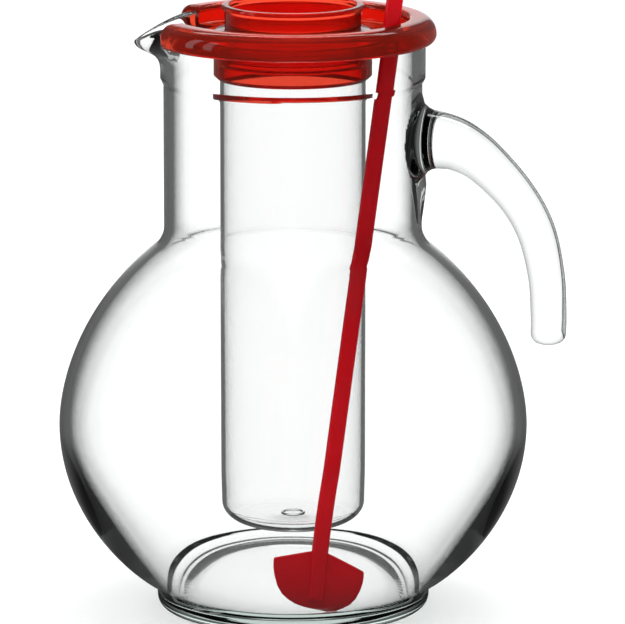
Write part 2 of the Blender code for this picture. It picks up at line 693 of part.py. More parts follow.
def make_stirrer():
    """Stirrer, built upright about its own axis and then leaned on the line through the lid."""
    foot, hole = rod_line()
    axis = (hole - foot).normalized()
    sideways = Vector((math.cos(PADDLE_FACING), math.sin(PADDLE_FACING), 0.0))
    across = (sideways - axis * sideways.dot(axis)).normalized()
    forward = axis.cross(across)
    lean = math.acos(axis.z)
    lowest = PADDLE_DEPTH * math.cos(lean) + PADDLE_HALF_WIDTH * PADDLE_LOW_SHARE * math.sin(lean)
    middle = foot + axis * ((PADDLE_FLOOR_GAP + lowest) / axis.z)
    length = (CAP_TOP_Z + ROD_TOP_ABOVE_LID - middle.z) / axis.z

    rod = rod_solid(length)
    paddle = prism("stirrer", paddle_outline(), -PADDLE_THICKNESS / 2, PADDLE_THICKNESS / 2)
    paddle.data.transform(Matrix.Rotation(math.pi / 2, 4, "X"))
    combine(paddle, rod, "UNION")
    stirrer = made_mesh(paddle)
    stirrer.matrix_world = Matrix.Translation(middle) @ Matrix((across, forward, axis)).transposed().to_4x4()
    finish(stirrer, material("red_stirrer_plastic", STIRRER_RED, STIRRER_SURFACE))
    return stirrer


clear_scene()
PARTS = new_collection(ASSEMBLY)
CUTTERS = new_collection("cutters")
make_jug()
make_handle()
make_lid()
make_tube()
make_cap()
make_stirrer()
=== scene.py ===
"""Studio picture of a clear glass pitcher with a red lid, a chilling tube, its cap and a stirrer.

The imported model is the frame. Each class rebuilds one sub-assembly as a fine mesh in the place of
its CAD nodes and dresses it in its own finish. Units are metres, +Z is up, the handle is on +X and
the spout on -X.
"""

import logging
import math
from dataclasses import dataclass
from enum import Enum
from typing import Iterable, Sequence

import bmesh
import bpy
from mathutils import Matrix, Vector
from mathutils.geometry import interpolate_bezier

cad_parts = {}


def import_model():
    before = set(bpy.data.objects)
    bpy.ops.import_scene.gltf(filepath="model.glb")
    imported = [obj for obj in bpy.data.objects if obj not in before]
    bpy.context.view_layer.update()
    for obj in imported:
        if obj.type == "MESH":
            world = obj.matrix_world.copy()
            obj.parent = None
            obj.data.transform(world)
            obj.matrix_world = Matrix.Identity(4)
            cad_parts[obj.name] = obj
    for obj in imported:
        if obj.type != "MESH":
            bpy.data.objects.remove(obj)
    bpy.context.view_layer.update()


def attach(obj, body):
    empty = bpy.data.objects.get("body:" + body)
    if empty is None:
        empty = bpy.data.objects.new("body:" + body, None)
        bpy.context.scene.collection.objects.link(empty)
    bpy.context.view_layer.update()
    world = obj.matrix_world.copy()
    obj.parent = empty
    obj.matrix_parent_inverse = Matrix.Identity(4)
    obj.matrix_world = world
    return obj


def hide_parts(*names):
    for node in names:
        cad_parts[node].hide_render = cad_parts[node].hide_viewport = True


LOG = logging.getLogger("pitcher")

MERGE_DISTANCE = 0.000002
SEAT_GAP = 0.0003
SLIDE_GAP = 0.0004
BOOLEAN_OVERRUN = 0.002
WHITE = (1.0, 1.0, 1.0, 1.0)
# Handle length of a Bezier quarter of an ellipse
QUARTER_SHARE = 0.5523
# Most of a section's edge that the arc at its end may take
ARC_REACH_SHARE = 0.49
# A ray's depth counts whole bounces, so past this it has met at least one
FIRST_BOUNCE = 0.5
# Vertex layer that is 1 on the handle's rod and 0 on walls
ROD_MASK = "rod"

Point = tuple[float, float]
Span = tuple[float, float]
Colour = tuple[float, float, float]
Mesh = bmesh.types.BMesh
Vert = bmesh.types.BMVert
Edge = bmesh.types.BMEdge
Piece = bpy.types.Object
Node = bpy.types.Node
Socket = bpy.types.NodeSocket


class Body(Enum):
    """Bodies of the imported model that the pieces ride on."""

    JUG = "jug"
    LID = "lid"
    TUBE = "chiller_tube"
    CAP = "tube_cap"
    STIRRER = "stirrer"


class Turn(Enum):
    """How a turned section is closed."""

    AT_AXIS = "at_axis"
    AS_RING = "as_ring"


class Join(Enum):
    """How a Boolean puts a helper to use."""

    CUT = "DIFFERENCE"
    ADD = "UNION"


@dataclass(frozen=True)
class Corner:
    """One corner of a turned section.

    Attributes:
        radius: Distance from the axis.
        height: Height above the table.
        rounding: Radius of the arc that replaces the corner.
    """

    radius: float
    height: float
    rounding: float = 0.0


def curve_run(
    start: Vector, start_handle: Vector, end_handle: Vector, end: Vector, count: int
) -> list[Point]:
    """Points along one Bezier segment of a section.

    Args:
        start: First point, as radius and height.
        start_handle: Handle of the first point.
        end_handle: Handle of the last point.
        end: Last point.
        count: Number of points, both ends included.

    Returns:
        The points in order.
    """
    return [(p[0], p[1]) for p in interpolate_bezier(start, start_handle, end_handle, end, count)]


def quarter_run(level: Vector, upright: Vector, count: int) -> list[Point]:
    """Points along a quarter of an ellipse.

    Args:
        level: The end where the curve runs level.
        upright: The end where it runs upright.
        count: Number of points, both ends included.

    Returns:
        The points, from the level end to the upright one.
    """
    across = Vector((upright.x - level.x, 0.0)) * QUARTER_SHARE
    down = Vector((0.0, upright.y - level.y)) * QUARTER_SHARE
    return curve_run(level, level + across, upright - down, upright, count)


def line_run(start: Point, end: Point, count: int) -> list[Point]:
    """Points along a straight line, without its end.

    Args:
        start: First point.
        end: Point after the last one.
        count: Number of points.

    Returns:
        The points in order.
    """
    return [
        (start[0] + (end[0] - start[0]) * i / count, start[1] + (end[1] - start[1]) * i / count)
        for i in range(count)
    ]


def rounded_section(corners: Sequence[Corner], turn: Turn, arc_points: int = 6) -> list[Point]:
    """A section with its corners rounded by arcs.

    Args:
        corners: Corners in order round the section.
        turn: Whether the section is a closed ring or ends on the axis.
        arc_points: Points that replace each rounded corner.

    Returns:
        The points of the section in order.
    """
    points: list[Point] = []
    last = len(corners) - 1
    for i, corner in enumerate(corners):
        here = Vector((corner.radius, corner.height))
        open_end = turn is Turn.AT_AXIS and i in (0, last)
        if open_end or corner.rounding <= 0.0:
            points.append((here.x, here.y))
            continue
        before = corners[i - 1]
        after = corners[(i + 1) % len(corners)]
        back = Vector((before.radius, before.height)) - here
        ahead = Vector((after.radius, after.height)) - here
        half = back.angle(ahead) / 2
        reach = min(
            corner.rounding / math.tan(half), ARC_REACH_SHARE * back.length, ARC_REACH_SHARE * ahead.length
        )
        round_radius = reach * math.tan(half)
        inwards = (back.normalized() + ahead.normalized()).normalized()
        middle = here + inwards * (round_radius / math.sin(half))
        first = here + back.normalized() * reach - middle
        swing = first.angle_signed(here + ahead.normalized() * reach - middle)
        for k in range(arc_points):
            turned = first.copy()
            turned.rotate(Matrix.Rotation(-swing * k / (arc_points - 1), 2))
            points.append(tuple(middle + turned))
    return points


def inset_run(points: Sequence[Point], distance: float) -> list[Point]:
    """An outline that runs down the outer side, moved inwards square to itself.

    Args:
        points: The outline.
        distance: How far it moves.

    Returns:
        The moved outline.
    """
    moved = []
    for i, point in enumerate(points):
        ahead = Vector(points[min(i + 1, len(points) - 1)])
        behind = Vector(points[max(i - 1, 0)])
        along = (ahead - behind).normalized()
        moved.append((point[0] + along.y * distance, point[1] - along.x * distance))
    return moved


def spun(section: Sequence[Point], steps: int, turn: Turn) -> Mesh:
    """A section turned about the Z axis.

    Args:
        section: Points as radius and height.
        steps: Steps of the full turn.
        turn: Whether the section is a closed ring or ends on the axis.

    Returns:
        The turned mesh, closed and facing out.
    """
    shape = bmesh.new()
    verts = [shape.verts.new((radius, 0.0, height)) for radius, height in section]
    pairs = list(zip(verts, verts[1:]))
    if turn is Turn.AS_RING:
        pairs.append((verts[-1], verts[0]))
    edges = [shape.edges.new(pair) for pair in pairs]
    bmesh.ops.spin(
        shape, geom=verts + edges, cent=(0.0, 0.0, 0.0), axis=(0.0, 0.0, 1.0),
        angle=2 * math.pi, steps=steps, use_merge=True, use_duplicate=False,
    )
    bmesh.ops.remove_doubles(shape, verts=shape.verts, dist=MERGE_DISTANCE)
    bmesh.ops.dissolve_degenerate(shape, edges=shape.edges, dist=MERGE_DISTANCE)
    bmesh.ops.recalc_face_normals(shape, faces=shape.faces)
    return shape


def as_object(name: str, shape: Mesh, smooth_angle: float = math.radians(40.0)) -> Piece:
    """Turns a bmesh into a smooth-shaded object at the origin.

    Args:
        name: Name of the piece.
        shape: The mesh, freed afterwards.
        smooth_angle: Edges sharper than this stay sharp.

    Returns:
        The object, linked to the scene.
    """
    mesh = bpy.data.meshes.new(name)
    shape.to_mesh(mesh)
    shape.free()
    mesh.shade_smooth()
    mesh.set_sharp_from_angle(angle=smooth_angle)
    piece = bpy.data.objects.new(name, mesh)
    bpy.context.scene.collection.objects.link(piece)
    return piece


def combined(piece: Piece, helpers: Sequence[Piece], join: Join) -> Mesh:
    """The mesh of a piece after a Boolean with each helper, which is then removed.

    Args:
        piece: The object that is cut or joined.
        helpers: The cutters or additions.
        join: Whether the helpers cut or add.

    Returns:
        The result as a bmesh. The piece and the helpers are gone.
    """
    for helper in helpers:
        boolean = piece.modifiers.new(helper.name, "BOOLEAN")
        boolean.operation = join.value
        boolean.solver = "EXACT"
        boolean.object = helper
    bpy.context.view_layer.update()
    evaluated = piece.evaluated_get(bpy.context.evaluated_depsgraph_get())
    shape = bmesh.new()
    shape.from_mesh(evaluated.to_mesh())
    evaluated.to_mesh_clear()
    for leftover in (piece, *helpers):
        bpy.data.objects.remove(leftover)
    bmesh.ops.remove_doubles(shape, verts=shape.verts, dist=MERGE_DISTANCE)
    return shape


def ring_of(shape: Mesh, verts: Iterable[Vert]) -> list[Edge]:
    """The edges whose both ends are among the given vertices and that border a hole."""
    chosen = set(verts)
    return [edge for edge in shape.edges if edge.is_boundary and set(edge.verts) <= chosen]


class Wiring:
    """A shader node tree, with short ways to fill it."""

    def __init__(self, tree: bpy.types.NodeTree) -> None:
        """Keeps the tree."""
        self.tree = tree

    def fill(self, node: Node, inputs: dict[str | int, object]) -> Node:
        """Sets the inputs of a node.

        Args:
            node: The node.
            inputs: For each input, a constant or the socket that feeds it.

        Returns:
            The node.
        """
        for key, value in inputs.items():
            if isinstance(value, Socket):
                self.tree.links.new(value, node.inputs[key])
            else:
                node.inputs[key].default_value = value
        return node

    def add(self, kind: str, inputs: dict[str | int, object], **settings: object) -> Node:
        """Adds a node.

        Args:
            kind: Its type.
            inputs: For each input, a constant or the socket that feeds it.
            settings: Its properties, which are set first.

        Returns:
            The node.
        """
        node = self.tree.nodes.new(kind)
        for name, value in settings.items():
            setattr(node, name, value)
        return self.fill(node, inputs)

    def maths(self, operation: str, *values: object) -> Socket:
        """Adds a Math node.

        Args:
            operation: Its operation.
            values: Numbers or sockets that it works on.

        Returns:
            The socket of the result.
        """
        return self.add("ShaderNodeMath", dict(enumerate(values)), operation=operation).outputs["Value"]

    def eased(self, value: Socket, span: Span, ends: Span) -> Socket:
        """A smooth step from one level to another.

        Args:
            value: Socket of the value that drives it.
            span: Values where the step begins and ends.
            ends: Levels before and after it.

        Returns:
            The socket of the level.
        """
        inputs = {"Value": value}
        inputs |= {"From Min": span[0], "From Max": span[1], "To Min": ends[0], "To Max": ends[1]}
        return self.add("ShaderNodeMapRange", inputs, interpolation_type="SMOOTHSTEP").outputs["Result"]

    def blend(self, share: Socket, first: object, second: object, data_type: str = "FLOAT") -> Socket:
        """Mixes two numbers or colours.

        Args:
            share: Socket of the second one's share.
            first: Number, colour or socket.
            second: Number, colour or socket.
            data_type: FLOAT for numbers or RGBA for colours.

        Returns:
            The socket of the mix.
        """
        inputs = {"Factor": share, "A": first, "B": second}
        return self.add("ShaderNodeMix", inputs, data_type=data_type).outputs["Result"]


class Effects:
    """Shader node groups that several finishes share."""

    @staticmethod
    def group(name: str, inputs: dict[str, float], output: str) -> tuple[Wiring, Node, Node]:
        """An empty node group with float inputs and one float output.

        Args:
            name: Name of the group.
            inputs: Default of each named input.
            output: Name of the output.

        Returns:
            The group's wiring, the node that holds its inputs and the one that takes its output.
        """
        tree = bpy.data.node_groups.new(name, "ShaderNodeTree")
        for label, value in inputs.items():
            socket = tree.interface.new_socket(name=label, in_out="INPUT", socket_type="NodeSocketFloat")
            socket.default_value = value
        tree.interface.new_socket(name=output, in_out="OUTPUT", socket_type="NodeSocketFloat")
        wiring = Wiring(tree)
        return wiring, wiring.add("NodeGroupInput", {}), wiring.add("NodeGroupOutput", {})

    @classmethod
    def surface_wave(cls) -> bpy.types.NodeTree:
        """Slow unevenness that pressed glass and moulded plastic show in their reflections.

        Returns:
            A group from Scale and Stretch to Height.
        """
        known = bpy.data.node_groups.get("surface_wave")
        if known:
            return known
        wiring, source, result = cls.group("surface_wave", {"Scale": 30.0, "Stretch": 0.4}, "Height")
        place = wiring.add("ShaderNodeTexCoord", {})
        scale = wiring.add("ShaderNodeCombineXYZ", {"X": 1.0, "Y": 1.0, "Z": source.outputs["Stretch"]})
        flow = wiring.add(
            "ShaderNodeVectorMath", {0: place.outputs["Object"], 1: scale.outputs["Vector"]},
            operation="MULTIPLY",
        )
        noise = wiring.add("ShaderNodeTexNoise", {
            "Vector": flow.outputs["Vector"], "Scale": source.outputs["Scale"],
            "Detail": 1.0, "Roughness": 0.4,
        })
        wiring.fill(result, {"Height": noise.outputs["Fac"]})
        return wiring.tree

    @classmethod
    def handling_marks(cls) -> bpy.types.NodeTree:
        """Roughness with faint wipe marks and fine scuffs.

        Returns:
            A group from Base, Marks and Scale to Roughness.
        """
        known = bpy.data.node_groups.get("handling_marks")
        if known:
            return known
        inputs = {"Base": 0.1, "Marks": 0.05, "Scale": 60.0}
        wiring, source, result = cls.group("handling_marks", inputs, "Roughness")
        place = wiring.add("ShaderNodeTexCoord", {})
        noise = wiring.add("ShaderNodeTexNoise", {
            "Vector": place.outputs["Object"], "Scale": source.outputs["Scale"],
            "Detail": 6.0, "Roughness": 0.7, "Distortion": 0.6,
        })
        spread = wiring.add(
            "ShaderNodeMapRange", {"Value": noise.outputs["Fac"], "From Min": 0.48, "From Max": 0.78}
        )
        rough = wiring.maths(
            "MULTIPLY_ADD", spread.outputs["Result"], source.outputs["Marks"], source.outputs["Base"]
        )
        wiring.fill(result, {"Roughness": rough})
        return wiring.tree


@dataclass(frozen=True)
class Finish:
    """A glossy solid that light passes, with faint marks and a slightly uneven surface.

    Attributes:
        name: Name of the material.
        ior: Index of refraction.
        passing: Share of the light that enters and passes.
        tint: Colour left of white light after one metre divided by depth.
        depth: Absorption density per metre.
        base_roughness: Roughness between the marks.
        marks: Extra roughness of the marks.
        marks_scale: Marks per metre.
        wave_scale: Waves per metre of the uneven surface.
        wave_stretch: The same along the height, as a share of that across.
        wave_height: Height of the waves.
    """

    name: str
    ior: float
    passing: float
    tint: Colour
    depth: float
    base_roughness: float
    marks: float
    marks_scale: float
    wave_scale: float
    wave_stretch: float
    wave_height: float

    def colour(self, wiring: Wiring, wave: Socket) -> Socket:
        """The colour, which each kind of finish gives."""
        raise NotImplementedError

    def surface(self, wiring: Wiring, shader: Socket) -> Socket:
        """The shader as it is, which a kind of finish may change."""
        return shader

    def material(self) -> bpy.types.Material:
        """The material, built the first time that it is asked for."""
        return bpy.data.materials.get(self.name) or self.built()

    def built(self) -> bpy.types.Material:
        """Builds the material.

        Returns:
            The material, with its absorption.
        """
        made = bpy.data.materials.new(self.name)
        made.use_nodes = True
        wiring = Wiring(made.node_tree)
        marks = wiring.add(
            "ShaderNodeGroup", {"Base": self.base_roughness, "Marks": self.marks, "Scale": self.marks_scale},
            node_tree=Effects.handling_marks(),
        )
        wave = wiring.add(
            "ShaderNodeGroup", {"Scale": self.wave_scale, "Stretch": self.wave_stretch},
            node_tree=Effects.surface_wave(),
        ).outputs["Height"]
        bump = wiring.add("ShaderNodeBump", {"Strength": 1.0, "Distance": self.wave_height, "Height": wave})
        shader = wiring.fill(made.node_tree.nodes["Principled BSDF"], {
            "Base Color": self.colour(wiring, wave), "Roughness": marks.outputs["Roughness"], "IOR": self.ior,
            "Transmission Weight": self.passing, "Normal": bump.outputs["Normal"],
        })
        absorb = wiring.add("ShaderNodeVolumeAbsorption", {"Color": (*self.tint, 1.0), "Density": self.depth})
        wiring.fill(made.node_tree.nodes["Material Output"], {
            "Surface": self.surface(wiring, shader.outputs["BSDF"]), "Volume": absorb.outputs["Volume"],
        })
        return made


@dataclass(frozen=True)
class ClearFinish(Finish):
    """A clear solid: pressed glass or clear plastic.

    Attributes:
        lamp_tint: Share of lamp light that passes, as a colour.
        painted_edge_shade: Painted shade, the dark colour that an upright wall takes where it is seen edge
            on, in place of the darkness that its edges refract.
        edge_start: Facing value at which the painted shade of a wall's edge begins, from 0 square on to 1
            edge on.
        rod_start: The same on a solid rod.
        edge_full: Facing value at which the painted shade has its full colour.
    """

    lamp_tint: Colour
    painted_edge_shade: Colour
    edge_start: float
    rod_start: float
    edge_full: float

    def colour(self, wiring: Wiring, wave: Socket) -> Socket:
        """White, with painted shade where walls and rods are seen edge on, in place of the dark edges that
        clear glass shows before a white wall.

        Args:
            wiring: The material's wiring.
            wave: Socket of the uneven surface's height, which clear solids don't use here.

        Returns:
            The socket of the colour.
        """
        # Painted shade: the base colour goes from white to a dark grey as a wall or rod turns edge on, with
        # level surfaces left white
        facing = wiring.add("ShaderNodeLayerWeight", {"Blend": 0.5})
        rod = wiring.add("ShaderNodeAttribute", {}, attribute_name=ROD_MASK).outputs["Fac"]
        normal = wiring.add("ShaderNodeNewGeometry", {}).outputs["Normal"]
        upward = wiring.add("ShaderNodeSeparateXYZ", {"Vector": normal}).outputs["Z"]
        wall = wiring.maths("SUBTRACT", 1.0, rod)
        level = wiring.maths("MULTIPLY", wiring.maths("MULTIPLY", upward, upward), wall)
        start = wiring.maths("MULTIPLY_ADD", rod, self.rod_start - self.edge_start, self.edge_start)
        ramp = wiring.add(
            "ShaderNodeMapRange",
            {"Value": facing.outputs["Facing"], "From Min": start, "From Max": self.edge_full},
        )
        share = wiring.maths("MULTIPLY", ramp.outputs["Result"], wiring.maths("SUBTRACT", 1.0, level))
        return wiring.blend(share, WHITE, (*self.painted_edge_shade, 1.0), "RGBA")

    def surface(self, wiring: Wiring, shader: Socket) -> Socket:
        """The shader, with shadow rays let through so that lamps reach what stands inside.

        Args:
            wiring: The material's wiring.
            shader: Socket of the Principled shader.

        Returns:
            The socket of the surface.
        """
        through = wiring.add("ShaderNodeBsdfTransparent", {"Color": (*self.lamp_tint, 1.0)})
        path = wiring.add("ShaderNodeLightPath", {})
        mix = wiring.add("ShaderNodeMixShader", {
            "Fac": path.outputs["Is Shadow Ray"], 1: shader, 2: through.outputs["BSDF"],
        })
        return mix.outputs["Shader"]


@dataclass(frozen=True)
class RedFinish(Finish):
    """Glossy red plastic that lets some light through.

    Attributes:
        skin: Colour of the light scattered back at the surface.
        mottle: How far the skin's colour varies.
    """

    skin: Colour
    mottle: float

    def colour(self, wiring: Wiring, wave: Socket) -> Socket:
        """The skin's colour, slightly mottled.

        Args:
            wiring: The material's wiring.
            wave: Socket of the uneven surface's height.

        Returns:
            The socket of the colour.
        """
        darker = tuple(c * (1.0 - self.mottle) for c in self.skin)
        return wiring.blend(wave, (*self.skin, 1.0), (*darker, 1.0), "RGBA")


# The edge colours of the clear finishes are painted shade, not the materials' own tint
PITCHER_GLASS = ClearFinish(
    name="pressed_glass", ior=1.51, passing=1.0, tint=(0.60, 0.71, 0.67), depth=13.0,
    base_roughness=0.0, marks=0.03, marks_scale=45.0, wave_scale=28.0, wave_stretch=0.35,
    wave_height=0.00012, lamp_tint=(0.93, 0.95, 0.94), painted_edge_shade=(0.06, 0.065, 0.065), edge_start=0.56,
    rod_start=0.08, edge_full=0.85,
)
TUBE_PLASTIC = ClearFinish(
    name="clear_tube_plastic", ior=1.49, passing=1.0, tint=(0.75, 0.78, 0.8), depth=16.0,
    base_roughness=0.02, marks=0.04, marks_scale=45.0, wave_scale=40.0, wave_stretch=0.35,
    wave_height=0.00005, lamp_tint=(0.95, 0.95, 0.95), painted_edge_shade=(0.5, 0.5, 0.5), edge_start=0.7,
    rod_start=0.7, edge_full=1.0,
)
LID_PLASTIC = RedFinish(
    name="moulded_red", ior=1.36, passing=0.90, tint=(0.98, 0.84, 0.50), depth=220.0,
    base_roughness=0.03, marks=0.05, marks_scale=90.0, wave_scale=70.0, wave_stretch=1.0,
    wave_height=0.00003, skin=(0.98, 0.09, 0.052), mottle=0.12,
)
STIRRER_PLASTIC = RedFinish(
    name="stirrer_red", ior=1.45, passing=0.08, tint=(0.9, 0.1, 0.05), depth=900.0,
    base_roughness=0.14, marks=0.08, marks_scale=90.0, wave_scale=70.0, wave_stretch=1.0,
    wave_height=0.00004, skin=(0.94, 0.004, 0.014), mottle=0.18,
)


@dataclass
class GlassPitcher:
    """The pressed glass pitcher: belly, neck, spout, foot and the hooked handle melted onto it."""

    height: float = 0.2253
    belly_radius: float = 0.0891
    belly_height: float = 0.0711
    belly_upper_handle: float = 0.0153
    belly_lower_handle: float = 0.036
    shoulder_run: float = 0.038
    shoulder_slope: float = math.radians(39.0)
    neck_radius: float = 0.0489
    neck_foot: float = 0.1428
    neck_fillet: float = 0.0041
    wall: float = 0.0035
    finish_proud: float = 0.0012
    finish_height: float = 0.0207
    finish_step: float = 0.0028
    finish_edge_round: float = 0.0007
    finish_foot_round: float = 0.0020
    rim_round: float = 0.0018
    rim_spacing: float = 0.0015
    base_radius: float = 0.0456
    foot_radius: float = 0.052
    foot_height: float = 0.0068
    waist_radius: float = 0.0505
    waist_height: float = 0.0085
    waist_slope: float = math.radians(15.0)
    waist_handle: float = 0.010
    floor_radius: float = 0.0455
    floor_thickness: float = 0.010
    floor_slope: float = math.radians(18.0)
    floor_handle: float = 0.012
    inner_lower_handle: float = 0.028
    punt_radius: float = 0.0400
    punt_depth: float = 0.0012
    punt_edge_share: float = 0.6
    knurl_depth: float = 0.0003
    knurl_width: float = 0.0034
    spout_reach: float = 0.0105
    spout_droop: float = 0.0075
    spout_root_drop: float = 0.0173
    spout_half_angle: float = math.radians(31.0)
    spout_nose_share: float = 0.12
    spout_thinning_share: float = 0.15
    handle_root_drop: float = 0.0438
    handle_reach: float = 0.0488
    handle_drop: float = 0.0771
    handle_thickness: float = 0.0144
    handle_width_share: float = 1.15
    handle_fillet: float = 0.0060
    handle_corner: float = 0.0040
    handle_spacing: float = 0.0016
    handle_end_points: int = 6
    pad_proud: float = 0.0020
    pad_width: float = 0.022
    pad_height: float = 0.042
    pad_drop: float = 0.0115
    pad_taper_share: float = 0.45
    pad_fall_power: float = 1.3
    # How near the neck's outside a vertex lies to count as on it, as a share of the wall
    skin_share: float = 0.05
    # How far round the handle's root the mesh is evened out, as a share of the root
    relax_reach_share: float = 1.4
    relax_passes: int = 12
    relax_factor: float = 0.5
    smooth_angle: float = math.radians(50.0)
    fillet_points: int = 8
    shoulder_points: int = 34
    bowl_points: int = 40
    neck_points: int = 24
    floor_points: int = 12
    foot_points: int = 12
    knurl_points: int = 4
    punt_points: int = 8
    steps: int = 256
    # Each row: share of the reach, share of the drop, share of the thickness
    handle_path_shares: tuple[tuple[float, float, float], ...] = (
        (0.0, 0.0, 1.56),
        (0.09, 0.0, 1.53),
        (0.18, 0.006, 1.47),
        (0.31, 0.032, 1.35),
        (0.49, 0.106, 1.18),
        (0.733, 0.268, 1.06),
        (0.89, 0.443, 1.02),
        (0.972, 0.66, 0.97),
        (0.992, 0.85, 0.95),
        (0.992, 0.945, 0.94),
        (0.992, 1.0, 0.94),
    )

    @property
    def inner_neck(self) -> float:
        """Radius of the neck's bore."""
        return self.neck_radius - self.wall

    @property
    def finish_radius(self) -> float:
        """Radius of the band under the rim."""
        return self.neck_radius + self.finish_proud

    @property
    def root_height(self) -> float:
        """Height of the handle's root on the neck."""
        return self.height - self.handle_root_drop

    def shoulder(self) -> list[Point]:
        """Outer outline from the neck's fillet down to the widest part of the belly.

        Returns:
            Points as radius and height.
        """
        inward = Vector((-math.cos(self.shoulder_slope), math.sin(self.shoulder_slope)))
        corner = Vector((self.neck_radius, self.neck_foot))
        top = corner + Vector((0.0, self.neck_fillet))
        low = corner - inward * self.neck_fillet
        widest = Vector((self.belly_radius, self.belly_height))
        fillet = curve_run(top, (top + corner) / 2, (low + corner) / 2, low, self.fillet_points)
        belly = curve_run(
            low, low - inward * self.shoulder_run, widest + Vector((0.0, self.belly_upper_handle)), widest,
            self.shoulder_points,
        )
        return fillet + belly[1:]

    def rim(self) -> list[Point]:
        """Rounded rim from the bore over the top and down the band to the neck.

        Returns:
            Points as radius and height.
        """
        band_low = self.height - self.finish_height
        top = rounded_section(
            (
                Corner(self.inner_neck, band_low),
                Corner(self.inner_neck, self.height, self.rim_round),
                Corner(self.finish_radius, self.height, self.rim_round),
                Corner(self.finish_radius, band_low, self.finish_edge_round),
                Corner(self.neck_radius, band_low - self.finish_step, self.finish_foot_round),
                Corner(self.neck_radius, self.neck_foot + self.neck_fillet),
            ),
            Turn.AT_AXIS,
            self.fillet_points,
        )
        points: list[Point] = []
        for here, after in zip(top, top[1:]):
            points += line_run(here, after, max(1, round(math.dist(here, after) / self.rim_spacing)))
        return points

    def section(self) -> list[Point]:
        """Whole section, from the floor's centre up the inside and down the outside.

        Returns:
            Points as radius and height.
        """
        widest = Vector((self.belly_radius, self.belly_height))
        inner_widest = widest - Vector((self.wall, 0.0))
        floor_edge = Vector((self.floor_radius, self.floor_thickness))
        floor_out = Vector((math.cos(self.floor_slope), math.sin(self.floor_slope))) * self.floor_handle
        waist = Vector((self.waist_radius, self.waist_height))
        waist_out = Vector((math.cos(self.waist_slope), math.sin(self.waist_slope))) * self.waist_handle
        shoulder = self.shoulder()
        points = line_run((0.0, self.floor_thickness), tuple(floor_edge), self.floor_points)
        points += curve_run(
            floor_edge, floor_edge + floor_out, inner_widest - Vector((0.0, self.inner_lower_handle)),
            inner_widest, self.bowl_points,
        )
        points += inset_run(shoulder, self.wall)[::-1][1:]
        neck_low = (self.inner_neck, points[-1][1])
        band_low = (self.inner_neck, self.height - self.finish_height)
        points += line_run(neck_low, band_low, self.neck_points)[1:]
        points += self.rim()
        points += shoulder
        points += curve_run(
            widest, widest - Vector((0.0, self.belly_lower_handle)), waist + waist_out, waist,
            self.bowl_points,
        )[1:]
        foot_corner = Vector((self.foot_radius, 0.0))
        points += curve_run(
            Vector((self.foot_radius, self.foot_height)), foot_corner + Vector((0.0, self.foot_height / 2)),
            foot_corner, Vector((self.base_radius, 0.0)), self.foot_points,
        )
        knurl_inner = (self.base_radius - self.knurl_width, 0.0)
        punt_middle = (0.0, self.punt_depth)
        points += line_run((self.base_radius, 0.0), knurl_inner, self.knurl_points)[1:]
        points.append(knurl_inner)
        punt_edge = (self.punt_radius, self.punt_depth * self.punt_edge_share)
        points += line_run(punt_edge, punt_middle, self.punt_points)
        points.append(punt_middle)
        return points

    def draw_out_spout(self, shape: Mesh) -> None:
        """Draws the rim out into a beak that reaches towards -X and droops.

        Args:
            shape: The pitcher's mesh, changed in place.
        """
        root = self.height - self.spout_root_drop
        rim_width = self.finish_radius - self.inner_neck
        nose = (1.0 - self.spout_nose_share) ** 2
        for vert in shape.verts:
            x, y, z = vert.co
            if z <= root:
                continue
            turn = math.hypot(math.atan2(y, -x) / self.spout_half_angle, self.spout_nose_share)
            if turn >= 1.0:
                continue
            rise = (z - root) / self.spout_root_drop
            drawn = (1.0 - turn) ** 2 / nose * rise * rise * (3.0 - 2.0 * rise)
            radius = math.hypot(x, y)
            inwards = min((self.finish_radius - radius) / rim_width, 1.0)
            reach = self.spout_reach * drawn * (1.0 + self.spout_thinning_share * inwards)
            scale = (radius + reach) / radius
            vert.co = (x * scale, y * scale, z - self.spout_droop * drawn)

    def knurl_foot(self, shape: Mesh) -> None:
        """Presses the row of fine notches into the ring that the foot stands on.

        Args:
            shape: The pitcher's mesh, changed in place.
        """
        low = self.base_radius - self.knurl_width - MERGE_DISTANCE
        high = self.base_radius - MERGE_DISTANCE
        for vert in shape.verts:
            if vert.co.z <= MERGE_DISTANCE and low < math.hypot(vert.co.x, vert.co.y) < high:
                step = round(math.atan2(vert.co.y, vert.co.x) / (2 * math.pi) * self.steps)
                vert.co.z += self.knurl_depth * (step % 2)

    def pad_bulge(self, along: float, height: float) -> float:
        """How far the drop of glass below the handle stands out of the neck.

        Args:
            along: Distance round the neck from the handle's middle.
            height: Height above the table.

        Returns:
            The bulge in metres.
        """
        middle = self.root_height - self.pad_drop
        low = min(1.0, max(0.0, (middle - height) / (self.pad_height / 2)))
        width = self.pad_width / 2 * (1.0 - self.pad_taper_share * low)
        away = (along / width) ** 2 + ((height - middle) / (self.pad_height / 2)) ** 2
        return self.pad_proud * max(0.0, 1.0 - away) ** self.pad_fall_power

    def on_neck(self, along: float, height: float) -> Vector:
        """A point on the neck's outside, with the pad's bulge."""
        radius = self.neck_radius + self.pad_bulge(along, height)
        angle = along / self.neck_radius
        return Vector((radius * math.cos(angle), radius * math.sin(angle), height))

    def unrolled(self, spot: Vector) -> Point:
        """Distance round the neck from the handle's middle, and height above the handle's root."""
        return math.atan2(spot.y, spot.x) * self.neck_radius, spot.z - self.root_height

    def open_handle_root(self, shape: Mesh, half_width: float, half_height: float) -> list[Vert]:
        """Raises the pad and opens an oval in the neck's outside for the handle.

        Args:
            shape: The pitcher's mesh, changed in place.
            half_width: Half the oval's width round the neck.
            half_height: Half the oval's height.

        Returns:
            The oval's vertices in order, from +Y upwards.
        """
        def scaled(spot: Vector) -> Point:
            """A spot's place in the oval, whose rim lies 1 away from its middle."""
            along, rise = self.unrolled(spot)
            return along / half_width, rise / half_height

